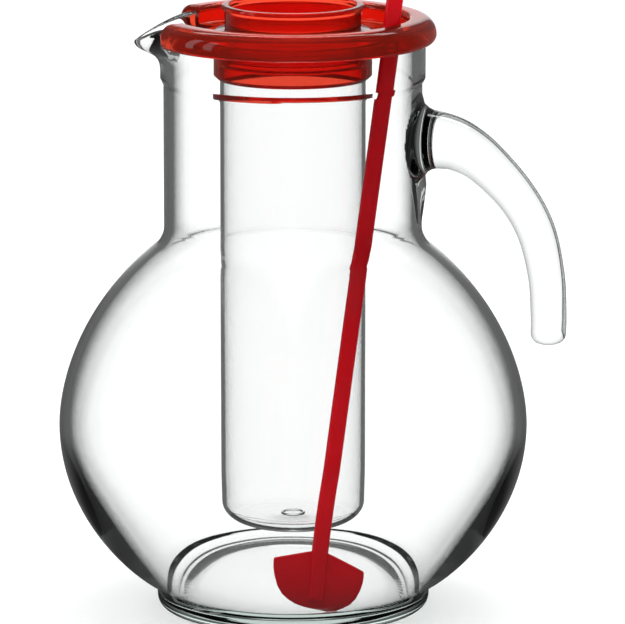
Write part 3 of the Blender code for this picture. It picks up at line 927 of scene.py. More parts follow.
        band = (self.neck_foot + self.neck_fillet, self.height - self.finish_height)
        outside = [
            v for v in shape.verts
            if v.co.x > 0 and band[0] < v.co.z < band[1]
            and abs(math.hypot(v.co.x, v.co.y) - self.neck_radius) < self.wall * self.skin_share
        ]
        near = set(outside)
        inside = [
            face for face in shape.faces
            if set(face.verts) <= near and math.hypot(*scaled(face.calc_center_median())) < 1.0
        ]
        bmesh.ops.delete(shape, geom=inside, context="FACES")
        rim = sorted(
            {v for e in shape.edges if e.is_boundary for v in e.verts},
            key=lambda v: math.atan2(scaled(v.co)[1], scaled(v.co)[0]) % (2 * math.pi),
        )
        for i, vert in enumerate(rim):
            angle = 2 * math.pi * i / len(rim)
            rise = half_height * math.sin(angle)
            vert.co = self.on_neck(half_width * math.cos(angle), self.root_height + rise)
        fixed = set(rim)
        loose = [v for v in outside if v.is_valid and v not in fixed]
        close = [v for v in loose if math.hypot(*scaled(v.co)) < self.relax_reach_share]
        for _ in range(self.relax_passes):
            bmesh.ops.smooth_vert(
                shape, verts=close, factor=self.relax_factor,
                use_axis_x=True, use_axis_y=True, use_axis_z=True,
            )
        for vert in loose:
            along, rise = self.unrolled(vert.co)
            vert.co = self.on_neck(along, self.root_height + rise)
        return rim

    def handle_stations(self) -> list[tuple[Vector, float]]:
        """Centres and half thicknesses along the handle, on a smooth curve through its rows.

        Returns:
            Each station's centre and half thickness.
        """
        rows = [
            Vector((
                self.neck_radius + reach * self.handle_reach, self.root_height - drop * self.handle_drop,
                thick * self.handle_thickness / 2,
            ))
            for reach, drop, thick in self.handle_path_shares
        ]
        stations = []
        for i, (here, after) in enumerate(zip(rows, rows[1:])):
            before = rows[i - 1] if i else here
            beyond = rows[i + 2] if i + 2 < len(rows) else after
            count = max(3, round((after - here).length / self.handle_spacing))
            for k in range(count):
                t = k / count
                mixed = 0.5 * (
                    2 * here + (after - before) * t + (2 * before - 5 * here + 4 * after - beyond) * t * t
                    + (3 * here - before - 3 * after + beyond) * t ** 3
                )
                stations.append((Vector((mixed.x, 0.0, mixed.y)), mixed.z))
        stations.append((Vector((rows[-1].x, 0.0, rows[-1].y)), rows[-1].z))
        return stations

    def handle_rings(self, stations: list[tuple[Vector, float]]) -> list[tuple[Vector, Vector, float, float]]:
        """The handle's rings: a flare at the neck, the rod and its rounded end.

        Args:
            stations: Centres and half thicknesses along the handle.

        Returns:
            Each ring's centre, upward direction, half thickness and share of the fillet left.
        """
        rings = []
        for i, (centre, half) in enumerate(stations[1:], start=1):
            away = centre.x - self.neck_radius
            ahead = stations[min(i + 1, len(stations) - 1)][0] - stations[i - 1][0]
            upward = Vector((-ahead.z, 0.0, ahead.x)).normalized()
            left = max(0.0, 1.0 - away / self.handle_fillet)
            flare = self.handle_fillet * (1.0 - math.sqrt(max(0.0, 1.0 - left * left)))
            rings.append((centre, upward, half + flare, left))
        lowest, end_up, end_half, _ = rings[-1]
        down = (stations[-1][0] - stations[-2][0]).normalized()
        rings = [
            ring for ring in rings
            if (lowest - ring[0]).dot(down) > self.handle_corner or ring[0].x < self.belly_radius
        ]
        for k in range(self.handle_end_points + 1):
            turn = math.pi / 2 * k / self.handle_end_points
            middle = lowest - down * self.handle_corner * (1.0 - math.sin(turn))
            rings.append((middle, end_up, end_half - self.handle_corner * (1.0 - math.cos(turn)), 0.0))
        return rings

    def pull_handle(self, shape: Mesh) -> None:
        """Pulls the handle out of the neck's wall, ring by ring, and rounds its end.

        Args:
            shape: The pitcher's mesh, changed in place.
        """
        mask = shape.verts.layers.float.new(ROD_MASK)
        stations = self.handle_stations()
        root_half = stations[0][1] + self.handle_fillet
        rim = self.open_handle_root(shape, root_half * self.handle_width_share, root_half)
        edges = ring_of(shape, rim)
        previous = rim
        for centre, upward, half, left in self.handle_rings(stations):
            pulled = bmesh.ops.extrude_edge_only(shape, edges=edges)["geom"]
            fresh = [g for g in pulled if isinstance(g, Vert)]
            edges = [g for g in pulled if isinstance(g, Edge) and all(v in fresh for v in g.verts)]
            follows = {edge.other_vert(vert): vert for vert in fresh for edge in vert.link_edges}
            ring = [follows[vert] for vert in previous]
            for i, vert in enumerate(ring):
                angle = 2 * math.pi * i / len(ring)
                across = half * self.handle_width_share * math.cos(angle)
                spot = centre + upward * half * math.sin(angle) + Vector((0.0, across, 0.0))
                curved = self.neck_radius - math.sqrt(max(0.0, self.neck_radius ** 2 - across ** 2))
                spot.x -= curved * left
                vert.co = spot
                vert[mask] = 1.0 - left
            previous = ring
        bmesh.ops.contextual_create(shape, geom=edges)

    def build(self) -> Piece:
        """Builds the pitcher as one solid of glass.

        Returns:
            The dressed piece.
        """
        shape = spun(self.section(), self.steps, Turn.AT_AXIS)
        self.draw_out_spout(shape)
        self.knurl_foot(shape)
        self.pull_handle(shape)
        bmesh.ops.recalc_face_normals(shape, faces=shape.faces)
        piece = as_object("pitcher_glass", shape, self.smooth_angle)
        piece.data.materials.append(PITCHER_GLASS.material())
        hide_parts("glass_jug", "glass_handle")
        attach(piece, Body.JUG.value)
        return piece


@dataclass
class Stirrer:
    """The leaning stirrer: a flat bar with a paddle at its lower end."""

    bar_width: float = 0.0062
    bar_thickness: float = 0.0046
    bar_above_lid: float = 0.040
    tip_length: float = 0.0030
    tube_gap: float = 0.0027
    azimuth: float = math.radians(-12.0)
    hole_radius: float = 0.0044
    hole_edge: float = 0.0007
    paddle_facing: float = math.radians(12.0)
    floor_gap: float = 0.0004
    paddle_half_width: float = 0.0170
    paddle_thickness: float = 0.0018
    paddle_top_rise: float = 0.0036
    paddle_depth: float = 0.0130
    paddle_top_share: float = 0.20
    paddle_low_share: float = 0.25
    bar_foot_share: float = 0.78
    bar_squareness: float = 0.62
    tip_width_share: float = 0.45
    edge_round: float = 0.0004
    round_segments: int = 3
    rim_angle: float = math.radians(60.0)
    smooth_angle: float = math.radians(35.0)
    section_points: int = 40
    bar_steps: int = 12
    tip_steps: int = 8
    # Right half of the paddle's lower edge: share of the half width, share of the depth
    paddle_edge_shares: tuple[Point, ...] = (
        (1.0, 0.0), (1.0, 0.12), (0.985, 0.25), (0.94, 0.42), (0.86, 0.62), (0.74, 0.78), (0.60, 0.88),
        (0.44, 0.95), (0.28, 0.985), (0.14, 0.998),
    )

    def line(
        self, ring_radius: float, tray_height: float, floor_height: float, tube_radius: float
    ) -> tuple[Vector, Vector]:
        """Foot of the bar's axis on the floor and its crossing of the lid's tray.

        Args:
            ring_radius: Distance of the lid's hole from the pitcher's axis.
            tray_height: Height of the tray.
            floor_height: Height of the pitcher's floor.
            tube_radius: Radius of the tube that the bar passes.

        Returns:
            The foot and the hole's centre.
        """
        def on_ring(azimuth: float, height: float) -> Vector:
            """A point as far from the axis as the hole."""
            return Vector((ring_radius * math.cos(azimuth), ring_radius * math.sin(azimuth), height))

        passing = tube_radius + self.bar_width / 2 + self.tube_gap
        foot_azimuth = self.azimuth - 2 * math.acos(passing / ring_radius)
        return on_ring(foot_azimuth, floor_height), on_ring(self.azimuth, tray_height)

    def bar(self, low: float, length: float) -> Piece:
        """The flat bar with rounded edges, upright about the Z axis.

        Args:
            low: Height of its lower end, below zero inside the paddle.
            length: Height of its tip.

        Returns:
            The bar as an object.
        """
        shape = bmesh.new()
        made = bmesh.ops.create_circle(shape, cap_ends=True, segments=self.section_points, radius=1.0)
        for vert in made["verts"]:
            angle = math.atan2(vert.co.y, vert.co.x)
            cos, sin = math.cos(angle), math.sin(angle)
            vert.co.x = math.copysign(abs(cos) ** self.bar_squareness, cos) * self.bar_width / 2
            vert.co.y = math.copysign(abs(sin) ** self.bar_squareness, sin) * self.bar_thickness / 2
            vert.co.z = low
        face = shape.faces[:][0]
        straight = length - self.tip_length - low
        rings = [(low + straight * i / self.bar_steps, 1.0) for i in range(1, self.bar_steps + 1)]
        for i in range(1, self.tip_steps):
            turn = math.pi / 2 * i / self.tip_steps
            narrowed = self.tip_width_share + (1.0 - self.tip_width_share) * math.cos(turn)
            rings.append((length - self.tip_length * (1.0 - math.sin(turn)), narrowed))
        scale_now = 1.0
        for height, scale in rings:
            grown = bmesh.ops.extrude_face_region(shape, geom=[face])["geom"]
            verts = [g for g in grown if isinstance(g, Vert)]
            bmesh.ops.delete(shape, geom=[face], context="FACES_ONLY")
            face = next(g for g in grown if isinstance(g, bmesh.types.BMFace))
            bmesh.ops.scale(shape, vec=(scale / scale_now, scale / scale_now, 1.0), verts=verts)
            bmesh.ops.translate(shape, vec=(0.0, 0.0, height - verts[0].co.z), verts=verts)
            scale_now = scale
        bmesh.ops.holes_fill(shape, edges=[e for e in shape.edges if e.is_boundary], sides=0)
        bmesh.ops.recalc_face_normals(shape, faces=shape.faces)
        return as_object("bar", shape)

    def paddle(self) -> Piece:
        """The paddle: roof-shaped top edge, rounded lower edge, eased edges.

        Returns:
            The paddle as an object, upright in the XZ plane.
        """
        right = [(w * self.paddle_half_width, -d * self.paddle_depth) for w, d in self.paddle_edge_shares]
        left = [(-x, z) for x, z in reversed(right)]
        top = self.paddle_top_share * self.paddle_half_width
        roof = [(-top, self.paddle_top_rise), (top, self.paddle_top_rise)]
        outline = right + [(0.0, -self.paddle_depth)] + left + roof
        shape = bmesh.new()
        verts = [shape.verts.new((x, -self.paddle_thickness / 2, z)) for x, z in outline]
        face = shape.faces.new(verts)
        grown = bmesh.ops.extrude_face_region(shape, geom=[face])["geom"]
        back = [g for g in grown if isinstance(g, Vert)]
        bmesh.ops.translate(shape, vec=(0.0, self.paddle_thickness, 0.0), verts=back)
        bmesh.ops.recalc_face_normals(shape, faces=shape.faces)
        rims = [e for e in shape.edges if e.calc_face_angle(0.0) > self.rim_angle]
        bmesh.ops.bevel(
            shape, geom=rims, offset=self.edge_round, offset_type="OFFSET", segments=self.round_segments,
            profile=0.5, affect="EDGES", material=-1, clamp_overlap=True,
        )
        return as_object("paddle", shape)

    def build(self, foot: Vector, hole: Vector, lid_top: float) -> Piece:
        """Builds the stirrer on its line through the lid.

        Args:
            foot: Foot of the bar's axis.
            hole: Centre of the lid's hole.
            lid_top: Height above which the bar stands out.

        Returns:
            The dressed piece.
        """
        axis = (hole - foot).normalized()
        sideways = Vector((math.cos(self.paddle_facing), math.sin(self.paddle_facing), 0.0))
        across = (sideways - axis * sideways.dot(axis)).normalized()
        forward = axis.cross(across)
        lean = math.acos(axis.z)
        low_aside = self.paddle_half_width * self.paddle_low_share
        lowest = self.paddle_depth * math.cos(lean) + low_aside * math.sin(lean)
        middle = foot + axis * ((self.floor_gap + lowest) / axis.z)
        length = (lid_top + self.bar_above_lid - middle.z) / axis.z
        bar = self.bar(-self.bar_foot_share * self.paddle_depth, length)
        shape = combined(self.paddle(), [bar], Join.ADD)
        frame = Matrix.Translation(middle) @ Matrix((across, forward, axis)).transposed().to_4x4()
        bmesh.ops.transform(shape, matrix=frame, verts=shape.verts)
        piece = as_object("stirrer_bar", shape, self.smooth_angle)
        piece.data.materials.append(STIRRER_PLASTIC.material())
        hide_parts("stirrer")
        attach(piece, Body.STIRRER.value)
        return piece


@dataclass
class ChillerTube:
    """The clear tube that hangs in the lid's collar."""

    radius: float = 0.0275
    wall: float = 0.0015
    mouth_wall: float = 0.0020
    mouth_step: float = 0.0010
    floor_gap: float = 0.0201
    corner: float = 0.0070
    flange_proud: float = 0.0022
    flange_thickness: float = 0.0016
    gate_ring_radius: float = 0.0045
    gate_ring_width: float = 0.0009
    gate_ring_height: float = 0.0007
    gate_round_share: float = 0.4
    gate_foot_share: float = 0.5
    edge_round: float = 0.0005
    smooth_angle: float = math.radians(60.0)
    arc_points: int = 10
    steps: int = 160

    def top(self, tray_height: float) -> float:
        """Height of the tube's mouth."""
        return tray_height + SEAT_GAP + self.flange_thickness

    @property
    def mouth_radius(self) -> float:
        """Inner radius of the band that holds the cap's plug."""
        return self.radius - self.mouth_wall

    def build(self, tray_height: float, jug_floor: float, plug_length: float) -> Piece:
        """Builds the tube.

        Args:
            tray_height: Height of the lid's tray, which carries the flange.
            jug_floor: Height of the pitcher's floor.
            plug_length: Length of the cap's plug.

        Returns:
            The dressed piece.
        """
        low = jug_floor + self.floor_gap
        floor = low + self.wall
        top = self.top(tray_height)
        flange = tray_height + SEAT_GAP
        inner = self.radius - self.wall
        band_low = top + SEAT_GAP - plug_length - self.mouth_step
        ring_inner = self.gate_ring_radius - self.gate_ring_width
        ring_round = self.gate_ring_width * self.gate_round_share
        ring_foot = ring_round * self.gate_foot_share
        section = rounded_section(
            (
                Corner(0.0, floor),
                Corner(ring_inner, floor, ring_foot),
                Corner(ring_inner, floor + self.gate_ring_height, ring_round),
                Corner(self.gate_ring_radius, floor + self.gate_ring_height, ring_round),
                Corner(self.gate_ring_radius, floor, ring_foot),
                Corner(inner, floor, self.corner - self.wall),
                Corner(inner, band_low - self.mouth_step, self.mouth_step),
                Corner(self.mouth_radius, band_low, self.mouth_step),
                Corner(self.mouth_radius, top, self.edge_round),
                Corner(self.radius + self.flange_proud, top, self.edge_round),
                Corner(self.radius + self.flange_proud, flange, self.edge_round),
                Corner(self.radius, flange, self.edge_round),
                Corner(self.radius, low, self.corner),
                Corner(0.0, low),
            ),
            Turn.AT_AXIS,
            self.arc_points,
        )
        piece = as_object("tube_clear", spun(section, self.steps, Turn.AT_AXIS), self.smooth_angle)
        piece.data.materials.append(TUBE_PLASTIC.material())
        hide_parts("chiller_tube")
        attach(piece, Body.TUBE.value)
        return piece


@dataclass
class TubeCap:
    """The red cap that closes the tube: a cup with a lip on a hollow plug."""

    radius: float = 0.02575
    height: float = 0.0094
    wall: float = 0.0019
    lip_proud: float = 0.00105
    lip_height: float = 0.0016
    recess_depth: float = 0.0084
    plug_length: float = 0.0108
    plug_wall: float = 0.0020
    edge_round: float = 0.0005
    lip_round_share: float = 0.9
    smooth_angle: float = math.radians(60.0)
    arc_points: int = 8
    steps: int = 160

    def build(self, tube_top: float, tube_bore: float) -> Piece:
        """Builds the cap.

        Args:
            tube_top: Height of the tube's mouth.
            tube_bore: Inner radius of the tube's mouth.

        Returns:
            The dressed piece.
        """
        low = tube_top + SEAT_GAP
        top = low + self.height
        recess = top - self.recess_depth
        plug = tube_bore - SEAT_GAP
        inner = self.radius - self.wall
        lip = self.radius + self.lip_proud
        section = rounded_section(
            (
                Corner(0.0, recess),
                Corner(inner, recess, self.wall),
                Corner(inner, top, self.lip_proud),
                Corner(lip, top, self.lip_proud * self.lip_round_share),
                Corner(lip, top - self.lip_height, self.edge_round),
                Corner(self.radius, top - self.lip_height - self.lip_proud, self.edge_round * 2),
                Corner(self.radius, low, self.edge_round),
                Corner(plug, low, self.edge_round),
                Corner(plug, low - self.plug_length, self.edge_round),
                Corner(plug - self.plug_wall, low - self.plug_length, self.edge_round),
                Corner(plug - self.plug_wall, recess - self.plug_wall, self.edge_round),
                Corner(0.0, recess - self.plug_wall),
            ),
            Turn.AT_AXIS,
            self.arc_points,
        )
        piece = as_object("cap_cup", spun(section, self.steps, Turn.AT_AXIS), self.smooth_angle)
        piece.data.materials.append(LID_PLASTIC.material())
        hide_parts("tube_cap")
        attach(piece, Body.CAP.value)
        return piece


@dataclass
class LidMoulding:
    """The red lid: ring over the rim, tray, collar, cut-out over the spout and the stirrer's hole."""

    wall: float = 0.0018
    bulge: float = 0.0037
    ring_drop: float = 0.00745
    crown: float = 0.0020
    ring_corner_width: float = 0.0057
    ring_corner_height: float = 0.0065
    ring_low_width: float = 0.0007
    ring_end_round: float = 0.0050
    skirt_thickness: float = 0.0016
    skirt_depth: float = 0.0079
    tray_depth: float = 0.0046
    tray_fillet: float = 0.0012
    collar_wall: float = 0.0020
    collar_drop: float = 0.0163
    collar_chamfer: float = 0.0015
    pour_half_angle: float = math.radians(27.0)
    pour_ledge: float = 0.0060
    edge_round: float = 0.0003
    steps: int = 224
    crown_points: int = 10
    side_points: int = 16
    low_side_points: int = 10
    arc_points: int = 5
    hole_sides: int = 48
    end_levels: int = 16
    end_points: int = 10
    ledge_steps: int = 16

    def ring_inner(self, jug: GlassPitcher) -> float:
        """Radius of the ring's bore round the rim."""
        return jug.finish_radius + SLIDE_GAP

    def skirt_inner(self, jug: GlassPitcher) -> float:
        """Radius inside the skirt."""
        return jug.inner_neck - SLIDE_GAP - self.skirt_thickness

    def tray(self, jug: GlassPitcher) -> float:
        """Height of the tray."""
        return jug.height - self.tray_depth

    def hole_ring(self, jug: GlassPitcher, stirrer: Stirrer) -> float:
        """Distance of the stirrer's hole from the axis."""
        return self.skirt_inner(jug) - stirrer.hole_edge - stirrer.hole_radius

    def section(self, jug: GlassPitcher, tube: ChillerTube) -> list[Point]:
        """Closed section of the lid.

        Args:
            jug: The pitcher that the lid fits.
            tube: The tube that the collar holds.

        Returns:
            Points as radius and height, round the section.
        """
        bore = self.ring_inner(jug)
        outer = bore + self.bulge
        underside = jug.height + SEAT_GAP
        top = underside + self.crown
        low = jug.height - self.ring_drop
        skirt = jug.inner_neck - SLIDE_GAP
        skirt_inner = self.skirt_inner(jug)
        tray = self.tray(jug)
        collar_inner = tube.radius + SLIDE_GAP
        collar = collar_inner + self.collar_wall
        collar_low = tray - self.collar_drop
        eased = self.edge_round
        crown_edge = Vector((outer - self.ring_corner_width, top))
        widest = Vector((outer, top - self.ring_corner_height))
        low_outer = Vector((bore + self.ring_low_width, low))
        crown = rounded_section(
            (
                Corner(skirt_inner, tray, self.tray_fillet),
                Corner(skirt_inner, top, self.crown),
                Corner(crown_edge.x, top),
            ),
            Turn.AT_AXIS,
            self.crown_points,
        )[1:-1]
        side = quarter_run(crown_edge, widest, self.side_points)
        side += quarter_run(low_outer, widest, self.low_side_points)[-2::-1]
        inside = rounded_section(
            (
                Corner(low_outer.x, low_outer.y),
                Corner(bore, low, eased),
                Corner(bore, underside, eased),
                Corner(skirt, underside, eased),
                Corner(skirt, jug.height - self.skirt_depth, eased),
                Corner(skirt_inner, jug.height - self.skirt_depth, eased),
                Corner(skirt_inner, tray - self.wall, eased),
                Corner(collar, tray - self.wall, eased),
                Corner(collar, collar_low + self.collar_chamfer, eased),
                Corner(collar - self.collar_chamfer, collar_low, eased),
                Corner(collar_inner, collar_low, eased),
                Corner(collar_inner, tray, eased),
                Corner(skirt_inner, tray, self.tray_fillet),
                Corner(skirt_inner, top),
            ),
            Turn.AT_AXIS,
            self.arc_points,
        )[1:-1]
        return crown + side + inside

    def pour_outline(self, inner: float, outer: float, rise: float) -> list[Point]:
        """Outline of the cut over the spout on one level.

        The cut widens above and below and towards the outside, so that it leaves round ring ends.

        Args:
            inner: Radius of the arc it leaves in the tray.
            outer: Radius of the ring.
            rise: The level, from -1 just below the ring to 1 just above it.

        Returns:
            The outline's points in the plane.
        """
        side = []
        for i in range(-1, self.end_points + 1):
            outwards = max(0, i) / self.end_points
            radius = inner if i < 0 else outer - self.ring_corner_width * (1.0 - outwards)
            rounded = 1.0 - math.sqrt(max(0.0, 1.0 - outwards ** 2 - rise ** 2))
            side.append((radius, self.pour_half_angle + self.ring_end_round / outer * rounded))
        widest = side[-1][1]
        side.append(((outer + BOOLEAN_OVERRUN) / math.cos(widest), widest))
        arc = [(inner, side[0][1] * (1.0 - 2 * i / self.ledge_steps)) for i in range(1, self.ledge_steps)]
        polar = side[::-1] + arc + [(radius, -angle) for radius, angle in side]
        return [(-radius * math.cos(angle), radius * math.sin(angle)) for radius, angle in polar]

    def pour_cutter(self, inner: float, outer: float, low: float, high: float) -> Piece:
        """The block that opens the lid over the spout.

        Args:
            inner: Radius of the arc it leaves in the tray.
            outer: Radius of the ring.
            low: Its underside.
            high: Its top.

        Returns:
            The cutter.
        """
        shape = bmesh.new()
        previous: list[Edge] = []
        for level in range(self.end_levels + 1):
            rise = -math.cos(math.pi * level / self.end_levels)
            height = (low + high) / 2 + rise * (high - low) / 2
            verts = [shape.verts.new((x, y, height)) for x, y in self.pour_outline(inner, outer, rise)]
            edges = [shape.edges.new(pair) for pair in zip(verts, verts[1:] + verts[:1])]
            if previous:
                bmesh.ops.bridge_loops(shape, edges=previous + edges)
            previous = edges
        bmesh.ops.holes_fill(shape, edges=[e for e in shape.edges if e.is_boundary], sides=0)
        bmesh.ops.recalc_face_normals(shape, faces=shape.faces)
        return as_object("pour_cutter", shape)

    def hole_cutter(self, centre: Vector, radius: float) -> Piece:
        """The round cutter of the stirrer's hole.

        Args:
            centre: Centre of the hole in the tray.
            radius: Its radius.

        Returns:
            The cutter.
        """
        shape = bmesh.new()
        depth = self.wall + 2 * BOOLEAN_OVERRUN
        place = Matrix.Translation((centre.x, centre.y, centre.z - self.wall / 2))
        bmesh.ops.create_cone(
            shape, cap_ends=True, segments=self.hole_sides, radius1=radius, radius2=radius, depth=depth,
            matrix=place,
        )
        return as_object("hole_cutter", shape)

    def build(self, jug: GlassPitcher, tube: ChillerTube, stirrer: Stirrer, hole: Vector) -> Piece:
        """Builds the lid.

        Args:
            jug: The pitcher that the lid fits.
            tube: The tube that the collar holds.
            stirrer: The stirrer that passes the tray.
            hole: Where it passes.

        Returns:
            The dressed piece.
        """
        blank = as_object("lid_blank", spun(self.section(jug, tube), self.steps, Turn.AS_RING))
        inner = tube.radius + SLIDE_GAP + self.collar_wall + self.pour_ledge
        outer = self.ring_inner(jug) + self.bulge
        low = jug.height - max(self.ring_drop, self.skirt_depth) - SEAT_GAP
        high = jug.height + SEAT_GAP + self.crown + SEAT_GAP
        cutters = [self.pour_cutter(inner, outer, low, high), self.hole_cutter(hole, stirrer.hole_radius)]
        piece = as_object("lid_moulding", combined(blank, cutters, Join.CUT))
        piece.data.materials.append(LID_PLASTIC.material())
        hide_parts("lid")
        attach(piece, Body.LID.value)
        return piece


@dataclass(frozen=True)
class Lamp:
    """A soft rectangular lamp.

    Attributes:
        name: Name of the lamp.
        place: Its centre.
        size: Its width and height.
        watts: Its power.
        mirrored: Whether glossy surfaces show it.
    """

    name: str
    place: tuple[float, float, float]
    size: Span
    watts: float
    mirrored: bool


# Two window panes at the left, a soft lamp above and a strip behind
LAMPS = (
    Lamp(name="left_pane_near", place=(-1.25, -0.62, 0.55), size=(0.22, 1.1), watts=1.5, mirrored=True),
    Lamp(name="left_pane_far", place=(-1.40, -0.20, 0.55), size=(0.22, 1.1), watts=1.5, mirrored=True),
    Lamp(name="top_soft", place=(0.1, 0.35, 1.6), size=(1.4, 0.9), watts=7.0, mirrored=False),
    Lamp(name="back_strip", place=(0.0, 0.66, 1.15), size=(1.3, 0.22), watts=4.0, mirrored=True),
)


@dataclass
class Studio:
    """Pale floor, soft lamps, white wall in a dark room, and the camera.

    Attributes:
        distance: From the camera to the point it aims at.
        elevation: Angle of the camera above the table.
        azimuth: Angle of the camera to the right of the front.
        aim_height: Height of the point it aims at.
        aim_aside: How far that point lies to the right of the axis.
        metres_per_pixel: Size of a pixel at the axis.
        picture_width: Width of the picture in pixels.
        sensor_width: Width of the camera's sensor in millimetres.
        lamp_aim: Height on the axis that the lamps face.
        floor_radius: Radius of the floor.
        floor_sides: Sides of the floor.
        floor_colour: Colour of the floor.
        floor_roughness: Roughness of the floor.
        floor_lift: Light of its own that the camera sees on the floor.
        near_floor: Distances from the axis over which the floor darkens in reflections.
        near_floor_levels: Its brightness before and after them.
        ambient: Light that falls on the object from all round.
        behind_glass: Brightness that is seen straight through clear pieces.
        wall: Bearings from its middle over which the white wall ends.
        wall_top: Heights of a direction over which it dims upwards.
        upper_wall: Its brightness above them.
        glow: Bearings over which the soft light beside the wall ends.
        glow_levels: Brightness of that light before and after them.
        ceiling: Heights of a direction over which the ceiling begins.
        ceiling_level: Brightness of the ceiling.
        light_bounces: Bounces of a ray in all, and of one that passes through.
        glossy_bounces: Reflections that a ray may meet.
    """

    distance: float = 2.2
    elevation: float = math.radians(11.4)
    azimuth: float = math.radians(7.0)
    aim_height: float = 0.114
    aim_aside: float = 0.0074
    metres_per_pixel: float = 0.000380
    picture_width: int = 625
    sensor_width: float = 36.0
    lamp_aim: float = 0.13
    floor_radius: float = 8.0
    floor_sides: int = 96
    floor_colour: Colour = (0.86, 0.86, 0.86)
    floor_roughness: float = 0.9
    floor_lift: float = 0.22
    near_floor: Span = (0.16, 0.40)
    near_floor_levels: Span = (0.04, 0.012)
    ambient: float = 0.85
    behind_glass: float = 1.4
    wall: Span = (math.radians(7.0), math.radians(14.0))
    wall_top: Span = (0.30, 0.60)
    upper_wall: float = 0.25
    glow: Span = (math.radians(40.0), math.radians(75.0))
    glow_levels: Span = (0.16, 0.012)
    ceiling: Span = (0.80, 0.95)
    ceiling_level: float = 0.06
    light_bounces: int = 24
    glossy_bounces: int = 8

    def camera(self) -> None:
        """Sets the camera at the photograph's angle."""
        data = bpy.data.cameras.new("camera")
        data.sensor_width = self.sensor_width
        focal_pixels = self.distance / self.metres_per_pixel
        data.lens = focal_pixels * self.sensor_width / self.picture_width
        camera = bpy.data.objects.new("camera", data)
        bpy.context.scene.collection.objects.link(camera)
        right = Vector((math.cos(self.azimuth), math.sin(self.azimuth), 0.0))
        back = Vector((
            math.sin(self.azimuth) * math.cos(self.elevation),
            -math.cos(self.azimuth) * math.cos(self.elevation),
            math.sin(self.elevation),
        ))
        aim = Vector((0.0, 0.0, self.aim_height)) + right * self.aim_aside
        turned = Matrix((right, back.cross(right), back)).transposed().to_4x4()
        camera.matrix_world = Matrix.Translation(aim + back * self.distance) @ turned
        bpy.context.scene.camera = camera

    def lamp(self, wanted: Lamp) -> None:
        """Adds a lamp that neither the camera nor the glass sees.

        Args:
            wanted: The lamp's values.
        """
        data = bpy.data.lights.new(wanted.name, "AREA")
        data.shape = "RECTANGLE"
        data.size, data.size_y = wanted.size
        data.energy = wanted.watts
        lamp = bpy.data.objects.new(wanted.name, data)
        lamp.location = wanted.place
        towards = Vector(wanted.place) - Vector((0.0, 0.0, self.lamp_aim))
        lamp.rotation_euler = towards.to_track_quat("Z", "Y").to_euler()
        lamp.visible_camera = False
        lamp.visible_transmission = False
        lamp.visible_glossy = wanted.mirrored
        bpy.context.scene.collection.objects.link(lamp)

    @staticmethod
    def ray_masks(wiring: Wiring) -> tuple[Socket, Socket, Socket]:
        """Masks of the camera's rays, of those that only passed through, and of the reflected ones.

        Args:
            wiring: Wiring of the floor or the world.

        Returns:
            The sockets of the three masks.
        """
        path = wiring.add("ShaderNodeLightPath", {}).outputs
        reflected = wiring.maths("GREATER_THAN", path["Glossy Depth"], FIRST_BOUNCE)
        turned = wiring.maths("ADD", path["Glossy Depth"], path["Diffuse Depth"])
        straight = wiring.maths("LESS_THAN", turned, FIRST_BOUNCE)
        passed = wiring.maths("MULTIPLY", path["Is Transmission Ray"], straight)
        return path["Is Camera Ray"], passed, reflected

    def backdrop(self, wiring: Wiring, direction: Socket) -> tuple[Socket, Socket]:
        """Brightness of the white wall behind the object, with the dark room round it.

        Args:
            wiring: Wiring of the floor or the world.
            direction: Socket of the direction from the object.

        Returns:
            The sockets of the brightness and of the direction's height.
        """
        split = wiring.add("ShaderNodeSeparateXYZ", {"Vector": direction}).outputs
        bearing = wiring.maths("ARCTAN2", split["X"], split["Y"])
        turned = wiring.maths("ABSOLUTE", wiring.maths("ADD", bearing, self.azimuth))
        wall = wiring.eased(turned, self.wall, (1.0, 0.0))
        lower = wiring.eased(split["Z"], self.wall_top, (1.0, self.upper_wall))
        glow = wiring.eased(turned, self.glow, self.glow_levels)
        return wiring.maths("MAXIMUM", wiring.maths("MULTIPLY", wall, lower), glow), split["Z"]

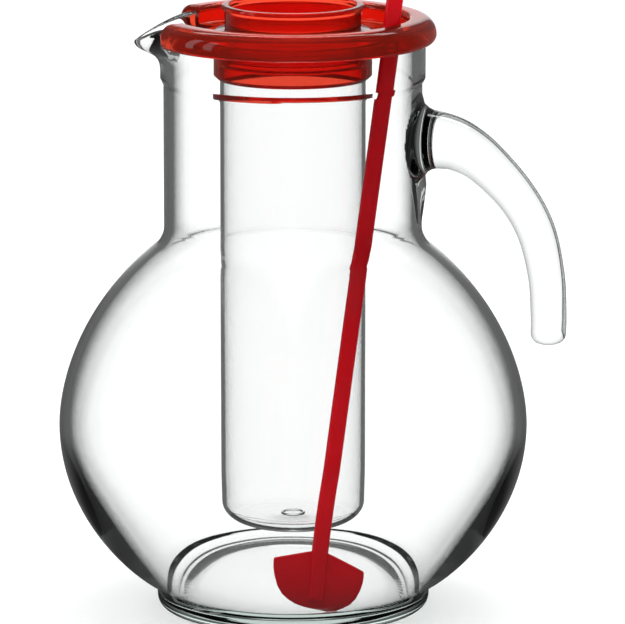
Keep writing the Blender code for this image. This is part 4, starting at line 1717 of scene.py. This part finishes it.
    def floor(self) -> None:
        """Adds the pale floor, which the camera sees as white with the object's soft shadow."""
        shape = bmesh.new()
        bmesh.ops.create_circle(shape, cap_ends=True, segments=self.floor_sides, radius=self.floor_radius)
        bmesh.ops.translate(shape, vec=(0.0, 0.0, -SEAT_GAP), verts=shape.verts)
        floor = as_object("studio_floor", shape)
        made = bpy.data.materials.new("studio_floor")
        made.use_nodes = True
        wiring = Wiring(made.node_tree)
        nodes = made.node_tree.nodes
        camera, passed, reflected = self.ray_masks(wiring)
        shader = wiring.fill(nodes["Principled BSDF"], {
            "Base Color": (*self.floor_colour, 1.0), "Roughness": self.floor_roughness,
            "Specular IOR Level": 0.0, "Emission Color": WHITE,
            "Emission Strength": wiring.maths("MULTIPLY", camera, self.floor_lift),
        })
        place = wiring.add("ShaderNodeTexCoord", {}).outputs["Object"]
        away = wiring.add("ShaderNodeVectorMath", {0: place}, operation="LENGTH").outputs["Value"]
        near = wiring.eased(away, self.near_floor, self.near_floor_levels)
        bright = wiring.maths("MAXIMUM", near, self.backdrop(wiring, place)[0])
        strength = wiring.blend(passed, bright, self.behind_glass)
        plain = wiring.add("ShaderNodeEmission", {"Color": WHITE, "Strength": strength})
        mix = wiring.add("ShaderNodeMixShader", {
            "Fac": wiring.maths("MAXIMUM", passed, reflected),
            1: shader.outputs["BSDF"], 2: plain.outputs["Emission"],
        })
        wiring.fill(nodes["Material Output"], {"Surface": mix.outputs["Shader"]})
        floor.data.materials.append(made)

    def world(self) -> None:
        """White behind the object, and in reflections a white wall and ceiling in a dark room."""
        world = bpy.data.worlds.new("studio")
        world.use_nodes = True
        world.cycles.sampling_method = "NONE"
        bpy.context.scene.world = world
        wiring = Wiring(world.node_tree)
        camera, passed, reflected = self.ray_masks(wiring)
        direction = wiring.add("ShaderNodeTexCoord", {}).outputs["Generated"]
        bright, height = self.backdrop(wiring, direction)
        ceiling = wiring.eased(height, self.ceiling, (0.0, self.ceiling_level))
        level = wiring.blend(reflected, self.ambient, wiring.maths("MAXIMUM", bright, ceiling))
        through = wiring.blend(passed, level, self.behind_glass)
        wiring.fill(world.node_tree.nodes["Background"], {
            "Color": WHITE, "Strength": wiring.blend(camera, through, 1.0),
        })

    def set_up(self) -> None:
        """Sets up the studio."""
        scene = bpy.context.scene
        scene.view_settings.view_transform = "Standard"
        scene.cycles.max_bounces = self.light_bounces
        scene.cycles.transmission_bounces = self.light_bounces
        scene.cycles.transparent_max_bounces = self.light_bounces
        scene.cycles.glossy_bounces = self.glossy_bounces
        self.camera()
        self.floor()
        for wanted in LAMPS:
            self.lamp(wanted)
        self.world()


def main() -> None:
    """Builds the picture: frame, studio and each sub-assembly in turn."""
    logging.basicConfig(level=logging.INFO, format="%(name)s: %(message)s")
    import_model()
    Studio().set_up()
    jug = GlassPitcher()
    lid = LidMoulding()
    tube = ChillerTube()
    cap = TubeCap()
    stirrer = Stirrer()
    tray = lid.tray(jug)
    foot, hole = stirrer.line(lid.hole_ring(jug, stirrer), tray, jug.floor_thickness, tube.radius)
    tube_top = tube.top(tray)
    pieces = (
        jug.build(),
        lid.build(jug, tube, stirrer, hole),
        tube.build(tray, jug.floor_thickness, cap.plug_length),
        cap.build(tube_top, tube.mouth_radius),
        stirrer.build(foot, hole, tube_top + SEAT_GAP + cap.height),
    )
    for piece in pieces:
        LOG.info("%s: %d faces", piece.name, len(piece.data.polygons))


if __name__ == "__main__":
    main()
